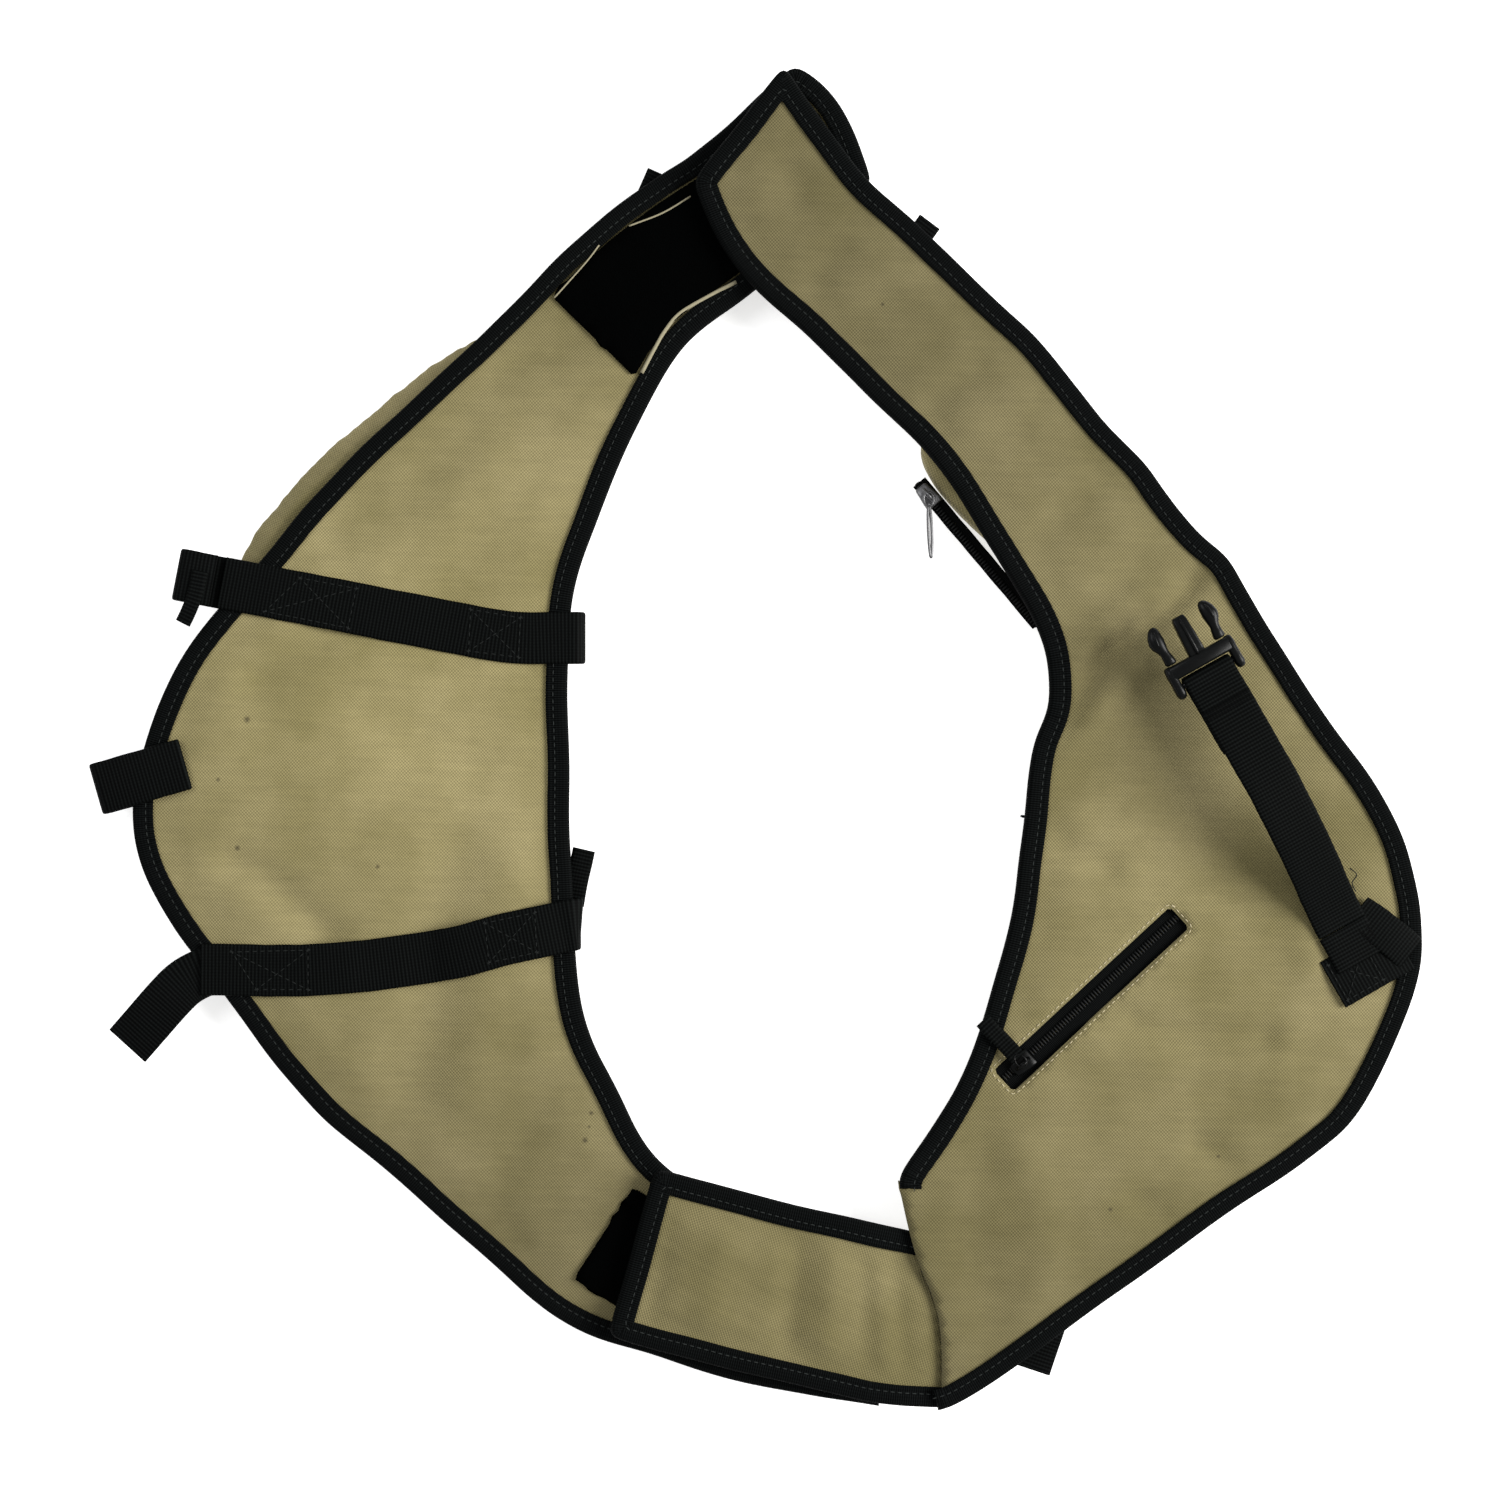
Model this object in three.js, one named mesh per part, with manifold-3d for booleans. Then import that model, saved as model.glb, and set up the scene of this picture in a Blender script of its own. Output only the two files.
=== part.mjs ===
// A one-shoulder fishing vest lying flat on its pockets, lining up.
// Millimetres, +Z up. The back panel is at -X, the front panel at +X, the shoulder strap at +Y and
// the waist belt at -Y. The origin is the middle of the footprint, on the surface the vest lies on.
import * as THREE from 'three';
import { mergeVertices } from 'three/addons/utils/BufferGeometryUtils.js';
import Module from 'manifold-3d';

const wasm = await Module();
wasm.setup();

// ---- driving dimensions ----
const VEST_WIDTH = 640;
const VEST_LENGTH = 650;
const CLEARANCE = 0.3;

const SHELL_THICKNESS = 1;
const FOAM_THICKNESS = 3;
const LINING_THICKNESS = 1;
const BINDING_WIDTH = 10.5;
const BINDING_THICKNESS = 0.9;
const WEBBING_WIDTH = 25;
const WEBBING_THICKNESS = 1.5;

const STRAP_WIDTH = 76;
const STRAP_ROOT_WIDTH = 113.5;
const BELT_WIDTH = 84;

const PATCH_WIDTH = 52;
const PATCH_LENGTH = 110;
const PATCH_MARGIN = 1.2;
const LOOP_THICKNESS = 2;
const HOOK_THICKNESS = 1.8;

const BACK_POCKET_DEPTH = 12.4;
const POCKET_ROUNDING = 3;
const INNER_POCKET_LENGTH = 138;
const INNER_POCKET_WIDTH = 120;
const INNER_POCKET_THICKNESS = 0.8;

const ZIP_WINDOW_LENGTH = 115;
const ZIP_WINDOW_WIDTH = 13.7;
const ZIP_TAPE_WIDTH = 9.5;
const ZIP_TAPE_THICKNESS = 0.6;
const ZIP_TAPE_DROP = 0.8;
const COIL_WIDTH = 4.2;
const COIL_HEIGHT = 1.6;
const POCKET_ZIP_LENGTH = 150;
const WALL_TAPE_WIDTH = 3;
const WALL_PULL_LENGTH = 6;
const STRAP_ZIP_LENGTH = 90;
const STRAP_TAPE_WIDTH = 4.5;
const SLIDER_LENGTH = 12;
const SLIDER_WIDTH = 8.4;
const SLIDER_WALL = 1.5;
const CROWN_PIN_RADIUS = 0.8;
const CROWN_POST = 1.2;
const PULL_TAB_LENGTH = 20;
const PULL_TAB_WIDTH = 8;
const PULL_TAB_THICKNESS = 1.2;
const PULL_EYE_WIDTH = 3;
const PULL_WIRE_LENGTH = 28;
const PULL_WIRE_RADIUS = 0.9;

const BUCKLE_WIDTH = 36;
const BUCKLE_THICKNESS = 7;
const BUCKLE_ARM = 4.6;
const BUCKLE_BAR_RADIUS = 1.7;
const BUCKLE_TONGUE_LENGTH = 19;
const BUCKLE_TONGUE_WIDTH = 8;
const PRONG_LENGTH = 18;
const PRONG_THICKNESS = 5.6;
const SOCKET_LENGTH = 34;
const SOCKET_WALL = 1.6;
const CATCH_START = 16;
const CATCH_END = 28;
const BUCKLE_STRAP_LENGTH = 138;
const BUCKLE_STRAP_RISE = 25;
const DOUBLED_LENGTH = 36;

const CURVE_STEP = 15;
const CORNER_REACH = 30;

// ---- places, on the drawing of a vest 640 mm wide and 650 mm long ----
const DRAWN_WIDTH = 640;
const DRAWN_LENGTH = 650;
const acrossScale = VEST_WIDTH / DRAWN_WIDTH;
const alongScale = VEST_LENGTH / DRAWN_LENGTH;
const at = (x, y) => new THREE.Vector2(x * acrossScale, y * alongScale);
const turned = (angle) => new THREE.Vector2(Math.cos(angle), Math.sin(angle));
const degrees = THREE.MathUtils.degToRad;

const finishes = {
  lining: { color: 0xa3966c, roughness: 0.92, metalness: 0 },
  shell: { color: 0x9d8f66, roughness: 0.92, metalness: 0 },
  foam: { color: 0x4a4a46, roughness: 0.95, metalness: 0 },
  binding: { color: 0x0e1112, roughness: 0.8, metalness: 0 },
  webbing: { color: 0x0b0d0e, roughness: 0.75, metalness: 0 },
  loop: { color: 0x060707, roughness: 1, metalness: 0 },
  zip: { color: 0x0c0e10, roughness: 0.7, metalness: 0 },
  plastic: { color: 0x08090a, roughness: 0.3, metalness: 0 },
  steel: { color: 0x9a9ea3, roughness: 0.3, metalness: 1 },
};

const vest = new THREE.Group();

// ---- solids ----
function solid(geometry) {
  const bare = geometry.clone();
  bare.deleteAttribute('normal');
  bare.deleteAttribute('uv');
  const merged = mergeVertices(bare, 1e-4);
  const mesh = new wasm.Mesh({
    numProp: 3,
    vertProperties: new Float32Array(merged.attributes.position.array),
    triVerts: new Uint32Array(merged.index.array),
  });
  return new wasm.Manifold(mesh);
}

function slab(outline, base, height) {
  const shape = new THREE.Shape(outline);
  const geometry = new THREE.ExtrudeGeometry(shape, { depth: height, bevelEnabled: false });
  return solid(geometry.translate(0, 0, base));
}

function pad(outline, base, height, rounding) {
  const geometry = new THREE.ExtrudeGeometry(new THREE.Shape(outline), {
    depth: height - 2 * rounding,
    bevelThickness: rounding,
    bevelSize: rounding,
    bevelOffset: -rounding,
    bevelSegments: 2,
  });
  return solid(geometry.translate(0, 0, base + rounding));
}

function block(x0, x1, y0, y1, z0, z1) {
  const geometry = new THREE.BoxGeometry(x1 - x0, y1 - y0, z1 - z0);
  return solid(geometry.translate((x0 + x1) / 2, (y0 + y1) / 2, (z0 + z1) / 2));
}

// A side profile in X and Z, as wide as the webbing or bar it belongs to, centred on Y = 0.
function sideProfile(shape, width) {
  const geometry = new THREE.ExtrudeGeometry(shape, { depth: width, bevelEnabled: false, curveSegments: 8 });
  return solid(geometry.translate(0, 0, -width / 2).rotateX(Math.PI / 2));
}

function rod(radius, length, axis, place, sides = 12) {
  const geometry = new THREE.CylinderGeometry(radius, radius, length, sides);
  if (axis === 'x') geometry.rotateZ(Math.PI / 2);
  if (axis === 'z') geometry.rotateX(Math.PI / 2);
  return solid(geometry.translate(...place));
}

function piece(name, manifold, finish, group = vest) {
  const { numProp, vertProperties, triVerts } = manifold.getMesh();
  const geometry = new THREE.BufferGeometry();
  geometry.setAttribute('position', new THREE.BufferAttribute(vertProperties, numProp));
  geometry.setIndex(new THREE.BufferAttribute(triVerts, 1));
  geometry.computeVertexNormals();
  const mesh = new THREE.Mesh(geometry, new THREE.MeshStandardMaterial(finishes[finish]));
  mesh.name = name;
  group.add(mesh);
  return mesh;
}

// ---- outlines: closed, counter-clockwise, made of runs that meet at corners ----
function run(points, open = false) {
  if (points.length === 2) return { line: points, open };
  const curve = new THREE.SplineCurve(points);
  return { line: curve.getSpacedPoints(Math.ceil(curve.getLength() / CURVE_STEP)), open };
}

function shifted(line, distance) {
  return line.map((point, i) => {
    const before = line[Math.max(i - 1, 0)];
    const after = line[Math.min(i + 1, line.length - 1)];
    const along = after.clone().sub(before).normalize();
    return new THREE.Vector2(point.x - along.y * distance, point.y + along.x * distance);
  });
}

function crossing(a, b, c, d) {
  const ab = b.clone().sub(a);
  const cd = d.clone().sub(c);
  const turn = ab.cross(cd);
  if (Math.abs(turn) < 1e-9) return null;
  const ac = c.clone().sub(a);
  const t = ac.cross(cd) / turn;
  const u = ac.cross(ab) / turn;
  return t >= 0 && t <= 1 && u >= 0 && u <= 1 ? a.clone().addScaledVector(ab, t) : null;
}

function lengthened(from, to) {
  return to.clone().addScaledVector(to.clone().sub(from).normalize(), CORNER_REACH);
}

// Where one line meets the next, and how much of each is left once they are cut there.
function meeting(line, next) {
  const before = [...line.slice(0, -1), lengthened(line.at(-2), line.at(-1))];
  const after = [lengthened(next[1], next[0]), ...next.slice(1)];
  for (let i = before.length - 1; i > 0; i -= 1) {
    for (let j = 1; j < after.length; j += 1) {
      const point = crossing(before[i - 1], before[i], after[j - 1], after[j]);
      if (point) return { point, last: i, first: j };
    }
  }
  return { point: line.at(-1), last: line.length - 1, first: 1 };
}

// The outline moved inwards: by `bound` along taped edges and by `open` along edges without tape.
function inset(outline, bound, open) {
  const lines = outline.map((edge) => shifted(edge.line, edge.open ? open : bound));
  return lines.flatMap((line, i) => {
    const start = meeting(lines.at(i - 1), line);
    const end = meeting(line, lines[(i + 1) % lines.length]);
    return [start.point, ...line.slice(start.first, end.last)];
  });
}

function ribbon(points, width) {
  const { line } = run(points);
  return [...shifted(line, -width / 2), ...shifted(line, width / 2).reverse()];
}

function rectangle(centre, angle, length, width) {
  const along = turned(angle).multiplyScalar(length / 2);
  const across = turned(angle + Math.PI / 2).multiplyScalar(width / 2);
  const corner = (i, j) => centre.clone().addScaledVector(along, i).addScaledVector(across, j);
  return [corner(-1, -1), corner(1, -1), corner(1, 1), corner(-1, 1)];
}

// ---- the four panels' outlines ----
const backOutline = [
  run([at(19, 325), at(-29, 282)]),
  run([
    at(-29, 282), at(-58, 263), at(-90, 237), at(-127, 199), at(-200, 130), at(-239, 85),
    at(-276, 41), at(-296, -6), at(-301, -36), at(-292, -75), at(-256, -127), at(-215, -179),
    at(-180, -208), at(-124, -258), at(-90, -285), at(-45, -301), at(0, -314), at(60, -324),
  ]),
  run([at(60, -324), at(58, -250)]),
  run([
    at(58, -250), at(-12, -226), at(-48, -204), at(-67, -170), at(-84, -131), at(-89, -55),
    at(-90, 9), at(-89, 61), at(-77, 103), at(-58, 148), at(-35, 188), at(-1, 214), at(28, 240),
    at(57, 267),
  ]),
  run([at(57, 267), at(46, 297), at(34, 314), at(19, 325)]),
];

const creaseStart = at(140, 12);
const creaseAcross = new THREE.Vector2(0.758, 0.652);
const creaseEnd = creaseStart.clone().addScaledVector(creaseAcross, STRAP_ROOT_WIDTH);

// Each place on the strap's inner edge, with how far the strap has widened towards its root there.
const strapEdge = [
  [at(-1, 215), 0], [at(26, 191), 0], [at(54, 163), 0], [at(75, 144), 0], [at(94, 120), 0.03],
  [at(110, 94), 0.12], [at(122, 75), 0.26], [at(133, 57), 0.3], [at(140, 36), 0.5],
];
const strapOuterEdge = strapEdge.map(([point, widening]) => {
  const width = STRAP_WIDTH + (STRAP_ROOT_WIDTH - STRAP_WIDTH) * widening;
  return point.clone().addScaledVector(creaseAcross, width);
});
const strapOutline = [
  run([at(14, 322), at(-30, 266)]),
  run([at(-30, 266), at(-17, 236), ...strapEdge.map(([point]) => point), creaseStart]),
  run([creaseStart, creaseEnd], true),
  run([creaseEnd, ...strapOuterEdge.toReversed(), at(28, 301), at(14, 322)]),
];

const foldTop = at(70, -209);
const foldBottom = at(91, -323);
const foldLine = run([foldTop, at(71, -219), at(78, -248), at(89, -279), foldBottom]).line;
const frontOutline = [
  run([
    creaseStart, at(134, -3), at(131, -23), at(127, -55), at(122, -90), at(111, -130), at(100, -161),
    at(91, -178), foldTop,
  ]),
  { line: foldLine, open: true },
  run([
    foldBottom, at(115, -310), at(151, -283), at(197, -250), at(234, -224), at(268, -201),
    at(290, -180), at(308, -144), at(318, -118), at(320, -98), at(317, -70), at(303, -32),
    at(262, 27), creaseEnd,
  ]),
  run([creaseEnd, creaseStart], true),
];

const beltTop = run([at(76, -238), at(24, -226), at(-12, -217), at(-48, -207)]).line;
const beltBottom = shifted(beltTop, BELT_WIDTH).reverse();
const beltOutline = [
  { line: beltTop, open: false },
  run([beltTop.at(-1), beltBottom[0]]),
  { line: [...beltBottom, foldBottom], open: false },
  { line: foldLine.toReversed(), open: true },
];

// ---- heights: the back panel lies under the ends of the strap and the belt ----
function layersFrom(bindingBase) {
  const shell = bindingBase + BINDING_THICKNESS + CLEARANCE;
  const foam = shell + SHELL_THICKNESS + CLEARANCE;
  const lining = foam + FOAM_THICKNESS + CLEARANCE;
  const flange = lining + LINING_THICKNESS + CLEARANCE;
  return { bindingBase, shell, foam, lining, flange, top: flange + BINDING_THICKNESS };
}

const backLayers = layersFrom(BACK_POCKET_DEPTH + CLEARANCE);
const hookBase = backLayers.flange + LOOP_THICKNESS + CLEARANCE;
const upperShell = hookBase + HOOK_THICKNESS + CLEARANCE;
const upperLayers = layersFrom(upperShell - CLEARANCE - BINDING_THICKNESS);
const upperPocketDepth = upperLayers.bindingBase - CLEARANCE;
const jointGap = CLEARANCE;
const windowReach = 5;

// Cloth, foam and cloth, with the edge tape folded round them.
function panel(outline, layers) {
  const cut = inset(outline, BINDING_THICKNESS + CLEARANCE, jointGap);
  const cloth = (base, thickness) => slab(cut, base, thickness);
  return {
    shell: cloth(layers.shell, SHELL_THICKNESS),
    foam: cloth(layers.foam, FOAM_THICKNESS),
    lining: cloth(layers.lining, LINING_THICKNESS),
    binding: bindingOf(outline, layers),
  };
}

function bindingOf(outline, layers) {
  const height = layers.top - layers.bindingBase;
  const slot = layers.flange - layers.shell + CLEARANCE;
  const whole = slab(inset(outline, 0, jointGap), layers.bindingBase, height);
  const window = slab(inset(outline, BINDING_WIDTH, -windowReach), layers.bindingBase - 1, height + 2);
  const fold = slab(inset(outline, BINDING_THICKNESS, -windowReach), layers.shell - CLEARANCE, slot);
  return whole.subtract(window).subtract(fold);
}

// A layer of the given region, cut off where it comes within `margin` of the panel's edge.
function withinEdge(panelOutline, region, margin, base, thickness) {
  const window = slab(inset(panelOutline, margin, margin), base, thickness);
  return window.intersect(slab(region, base - 1, thickness + 2));
}

const insideTape = (panelOutline, region, base, thickness) => withinEdge(
  panelOutline, region, BINDING_WIDTH + PATCH_MARGIN, base, thickness,
);

// ---- zips ----
const coilTop = ZIP_TAPE_THICKNESS / 2 + COIL_HEIGHT;
const crownHeight = coilTop + CLEARANCE + SLIDER_WALL + PULL_TAB_THICKNESS + 2 * CROWN_PIN_RADIUS;
const eyeInner = CROWN_PIN_RADIUS + CLEARANCE;
const eyeOuter = eyeInner + 1.2;

// A zip lies along X with its coil on Y = 0 and its tape's middle on Z = 0.
function zipTape(length, side, width) {
  const inner = COIL_WIDTH / 2 + CLEARANCE;
  const outer = inner + width;
  const half = ZIP_TAPE_THICKNESS / 2;
  const tape = block(0, length, inner, outer, -half, half);
  return side > 0 ? tape : tape.mirror([0, 1, 0]);
}

function zipCoil(start, end) {
  return block(start, end, -COIL_WIDTH / 2, COIL_WIDTH / 2, -ZIP_TAPE_THICKNESS / 2, coilTop);
}

function zipSlider() {
  const half = SLIDER_LENGTH / 2;
  const roof = coilTop + CLEARANCE;
  const skirt = ZIP_TAPE_THICKNESS / 2 + CLEARANCE;
  const body = block(-half, half, -SLIDER_WIDTH / 2, SLIDER_WIDTH / 2, skirt, roof + SLIDER_WALL);
  const channel = COIL_WIDTH / 2 + CLEARANCE;
  const hollow = block(-half - 1, half + 1, -channel, channel, skirt - 1, roof);
  const postInner = PULL_EYE_WIDTH / 2 + CLEARANCE;
  const postOuter = postInner + CROWN_POST;
  const postTop = crownHeight + CROWN_PIN_RADIUS;
  const post = (x0, x1) => block(x0, x1, -CROWN_PIN_RADIUS, CROWN_PIN_RADIUS, roof + 1, postTop);
  const pin = rod(CROWN_PIN_RADIUS, 2 * postOuter - 0.4, 'x', [0, 0, crownHeight], 8);
  return body.subtract(hollow).add(post(-postOuter, -postInner)).add(post(postInner, postOuter)).add(pin);
}

// The eye of a pull, on the crown's pin.
function pullEye() {
  const ring = rod(eyeOuter, PULL_EYE_WIDTH, 'x', [0, 0, crownHeight], 12);
  return ring.subtract(rod(eyeInner, PULL_EYE_WIDTH + 2, 'x', [0, 0, crownHeight], 12));
}

function pullTab(length) {
  const half = PULL_TAB_THICKNESS / 2;
  const neckEnd = eyeOuter + 2;
  const neck = block(-1.5, 1.5, eyeInner + 0.6, neckEnd + 1, crownHeight - half, crownHeight + half);
  const outline = rectangle(new THREE.Vector2(0, neckEnd + length / 2), 0, PULL_TAB_WIDTH, length);
  const tab = pad(outline, crownHeight - half, PULL_TAB_THICKNESS, half * 0.8);
  return pullEye().add(neck).add(tab);
}

function pullWire(angle) {
  const wire = rod(PULL_WIRE_RADIUS, PULL_WIRE_LENGTH, 'x', [PULL_WIRE_LENGTH / 2, 0, crownHeight], 8);
  return pullEye().add(wire.rotate([0, 0, angle]).translate([0, -eyeInner - 1, 0]));
}

// ---- front panel ----
const front = panel(frontOutline, upperLayers);
const zipAngle = degrees(43);
const zipCentre = at(161, -126);
const zipWindow = rectangle(zipCentre, zipAngle, ZIP_WINDOW_LENGTH, ZIP_WINDOW_WIDTH);
const zipHem = 4;
const zipLength = ZIP_WINDOW_LENGTH + 2 * zipHem;
const bagCentre = zipCentre.clone().addScaledVector(turned(zipAngle - Math.PI / 2), 28);
const bagOutline = rectangle(bagCentre, zipAngle, INNER_POCKET_LENGTH, INNER_POCKET_WIDTH);
const recessOutline = rectangle(
  bagCentre, zipAngle, INNER_POCKET_LENGTH + 2 * CLEARANCE, INNER_POCKET_WIDTH + 2 * CLEARANCE,
);
const zipTapeMiddle = upperLayers.lining - ZIP_TAPE_DROP - ZIP_TAPE_THICKNESS / 2;
const bagBase = zipTapeMiddle - ZIP_TAPE_THICKNESS / 2 - CLEARANCE - INNER_POCKET_THICKNESS;
const bagMargin = 4;
const foamRecess = withinEdge(
  frontOutline, recessOutline, bagMargin - CLEARANCE, bagBase - CLEARANCE, FOAM_THICKNESS,
);
const liningWindow = slab(zipWindow, upperLayers.lining - 1, LINING_THICKNESS + 2);

piece('front_shell', front.shell, 'shell');
piece('front_foam', front.foam.subtract(foamRecess), 'foam');
piece('front_lining', front.lining.subtract(liningWindow), 'lining');

const middleOfPanel = [
  creaseStart.clone().lerp(creaseEnd, 0.5), foldTop.clone().lerp(foldBottom, 0.5),
  at(-100, -400), at(-100, 100),
];
const innerSide = slab(middleOfPanel, 0, upperLayers.top + 10);
piece('front_binding_inner', front.binding.intersect(innerSide), 'binding');
piece('front_binding_outer', front.binding.subtract(innerSide), 'binding');
const bag = withinEdge(frontOutline, bagOutline, bagMargin, bagBase, INNER_POCKET_THICKNESS);
piece('inner_pocket_bag', bag, 'shell');

// The pocket's inner wall is straight, for its zip.
const frontPocketWall = [at(147, -30), at(122, -160)];
const frontPocket = run([
  frontPocketWall[1], at(122, -200), at(150, -243), at(200, -214), at(255, -176), at(285, -140),
  at(290, -95), at(272, -48), at(235, 0), at(185, 8), frontPocketWall[0],
]).line;
piece('front_pocket', pad(frontPocket, 0, upperPocketDepth, POCKET_ROUNDING), 'shell');

function placedGroup(x, y, z, angle, parent = vest) {
  const group = new THREE.Group();
  group.position.set(x, y, z);
  group.rotation.z = angle;
  parent.add(group);
  return group;
}

const zipStart = zipCentre.clone().addScaledVector(turned(zipAngle), -zipLength / 2);
const frontZip = placedGroup(zipStart.x, zipStart.y, zipTapeMiddle, zipAngle);
piece('front_zip_tape_upper', zipTape(zipLength, 1, ZIP_TAPE_WIDTH), 'zip', frontZip);
piece('front_zip_tape_lower', zipTape(zipLength, -1, ZIP_TAPE_WIDTH), 'zip', frontZip);
piece('front_zip_coil', zipCoil(zipHem + CLEARANCE, zipLength - zipHem - CLEARANCE), 'zip', frontZip);
const sliderInset = 17;
const frontSlider = placedGroup(sliderInset, 0, 0, 0, frontZip);
piece('front_zip_slider', zipSlider(), 'plastic', frontSlider);
piece('front_zip_pull', pullTab(PULL_TAB_LENGTH), 'webbing', frontSlider);

// A zip on a pocket's upright wall: its coil faces out of the wall and its pull points out too.
const wallZipGap = CLEARANCE + ZIP_TAPE_THICKNESS / 2;
function wallZip(name, from, to, height, wallTape) {
  const along = to.clone().sub(from).normalize();
  const out = new THREE.Vector3(along.y, -along.x, 0);
  const length = from.distanceTo(to);
  const group = new THREE.Group();
  group.position.set(from.x + out.x * wallZipGap, from.y + out.y * wallZipGap, height);
  const basis = new THREE.Matrix4().makeBasis(
    new THREE.Vector3(along.x, along.y, 0), new THREE.Vector3(0, 0, 1), out,
  );
  group.quaternion.setFromRotationMatrix(basis);
  vest.add(group);
  piece(`${name}_zip_tape_upper`, zipTape(length, 1, wallTape), 'zip', group);
  piece(`${name}_zip_tape_lower`, zipTape(length, -1, wallTape), 'zip', group);
  piece(`${name}_zip_coil`, zipCoil(0, length), 'zip', group);
  const slider = placedGroup(SLIDER_LENGTH, 0, 0, 0, group);
  piece(`${name}_zip_slider`, zipSlider(), 'plastic', slider);
  const pull = new THREE.Group();
  pull.position.z = crownHeight;
  pull.rotation.x = Math.PI / 2;
  slider.add(pull);
  piece(`${name}_zip_pull`, pullTab(WALL_PULL_LENGTH).translate([0, 0, -crownHeight]), 'webbing', pull);
}

// ---- shoulder strap and its pocket ----
const strap = panel(strapOutline, upperLayers);
piece('strap_shell', strap.shell, 'shell');
piece('strap_foam', strap.foam, 'foam');
piece('strap_lining', strap.lining, 'lining');
piece('strap_binding', strap.binding, 'binding');
const strapEndMiddle = at(-8, 294);
const strapEndAngle = degrees(-50);
const hookRegion = rectangle(
  strapEndMiddle.clone().addScaledVector(turned(strapEndAngle), 45), strapEndAngle, 70, PATCH_WIDTH,
);
const strapHook = insideTape(strapOutline, hookRegion, hookBase, HOOK_THICKNESS);
piece('strap_hook_patch', strapHook, 'loop');

const strapZipStart = at(77, 121);
const strapZipAngle = Math.atan2(-70, 59);
const strapZipHeight = 14;
const strapPocketSide = strapZipStart.clone().addScaledVector(
  turned(strapZipAngle + Math.PI / 2), COIL_WIDTH + STRAP_TAPE_WIDTH + 2 * CLEARANCE,
);
const strapPocketOutline = [
  strapPocketSide.clone().addScaledVector(turned(strapZipAngle), -12),
  strapPocketSide.clone().addScaledVector(turned(strapZipAngle), STRAP_ZIP_LENGTH - 4),
  at(176, 96),
  at(120, 168),
];
piece('strap_pocket', pad(strapPocketOutline, 0, upperPocketDepth, POCKET_ROUNDING), 'shell');

const strapZip = placedGroup(strapZipStart.x, strapZipStart.y, strapZipHeight, strapZipAngle);
const zipShift = COIL_WIDTH / 2;
strapZip.translateY(zipShift);
piece('strap_zip_tape', zipTape(STRAP_ZIP_LENGTH, 1, STRAP_TAPE_WIDTH), 'zip', strapZip);
piece('strap_zip_coil', zipCoil(0, STRAP_ZIP_LENGTH), 'zip', strapZip);
const strapSlider = placedGroup(8, 0, 0, 0, strapZip);
piece('strap_zip_slider', zipSlider(), 'steel', strapSlider);
piece('strap_zip_pull', pullWire(-36), 'steel', strapSlider);

// ---- waist belt ----
const belt = panel(beltOutline, upperLayers);
piece('belt_shell', belt.shell, 'shell');
piece('belt_foam', belt.foam, 'foam');
piece('belt_lining', belt.lining, 'lining');
piece('belt_binding', belt.binding, 'binding');
const beltAngle = degrees(-15);
const beltHookRegion = rectangle(at(-12, -256), beltAngle, 80, PATCH_WIDTH);
const beltHook = insideTape(beltOutline, beltHookRegion, hookBase, HOOK_THICKNESS);
piece('belt_hook_patch', beltHook, 'loop');

// ---- back panel ----
const back = panel(backOutline, backLayers);
piece('back_shell', back.shell, 'shell');
piece('back_foam', back.foam, 'foam');
piece('back_lining', back.lining, 'lining');
piece('back_binding', back.binding, 'binding');

const upperLoopRegion = [at(-99, 213), at(-57, 172), at(10, 190), at(90, 260), at(20, 345), at(-60, 330)];
const upperLoop = insideTape(backOutline, upperLoopRegion, backLayers.flange, LOOP_THICKNESS);
piece('back_loop_patch_upper', upperLoop, 'loop');
const lowerLoopAngle = Math.atan2(-0.55, 0.84);
const lowerLoopCentre = at(-73, -239.5).addScaledVector(turned(lowerLoopAngle), PATCH_LENGTH / 2);
const lowerLoopRegion = rectangle(lowerLoopCentre, lowerLoopAngle, PATCH_LENGTH, PATCH_WIDTH);
const lowerLoop = insideTape(backOutline, lowerLoopRegion, backLayers.flange, LOOP_THICKNESS);
piece('back_loop_patch_lower', lowerLoop, 'loop');

const backPocketEdge = at(-108, 0).x;
const backPocket = [
  ...run([
    new THREE.Vector2(backPocketEdge, at(0, 165).y), at(-120, 192), at(-140, 196), at(-195, 156),
    at(-237, 115),
    at(-256, 86), at(-262, 58), at(-246, 30), at(-222, 14), at(-214, -20), at(-214, -70), at(-224, -110),
    at(-205, -160), at(-165, -190), at(-122, -190), new THREE.Vector2(backPocketEdge, at(0, -170).y),
  ]).line,
];
piece('back_pocket', pad(backPocket, 0, BACK_POCKET_DEPTH, POCKET_ROUNDING), 'shell');

// ---- webbing on the back panel ----
const strapLevel = backLayers.top + CLEARANCE;
const underLevel = backLayers.bindingBase - CLEARANCE - WEBBING_THICKNESS;
const edgeWrap = (x0, x1, y0, y1) => {
  const web = block(x1 - WEBBING_THICKNESS, x1, y0, y1, underLevel, strapLevel + WEBBING_THICKNESS);
  return web.add(block(x0, x1, y0, y1, underLevel, underLevel + WEBBING_THICKNESS));
};

const upperStrapPath = [at(-258, 74), at(-174.5, 58), at(-120.5, 48), at(-82, 47.5)];
const upperStrapEnd = upperStrapPath.at(-1);
const upperCrossStrap = slab(ribbon(upperStrapPath, WEBBING_WIDTH), strapLevel, WEBBING_THICKNESS);
const upperWrap = edgeWrap(
  upperStrapEnd.x - 20, upperStrapEnd.x,
  upperStrapEnd.y - WEBBING_WIDTH / 2, upperStrapEnd.y + WEBBING_WIDTH / 2,
);
piece('upper_cross_strap', upperCrossStrap.add(upperWrap), 'webbing');

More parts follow.
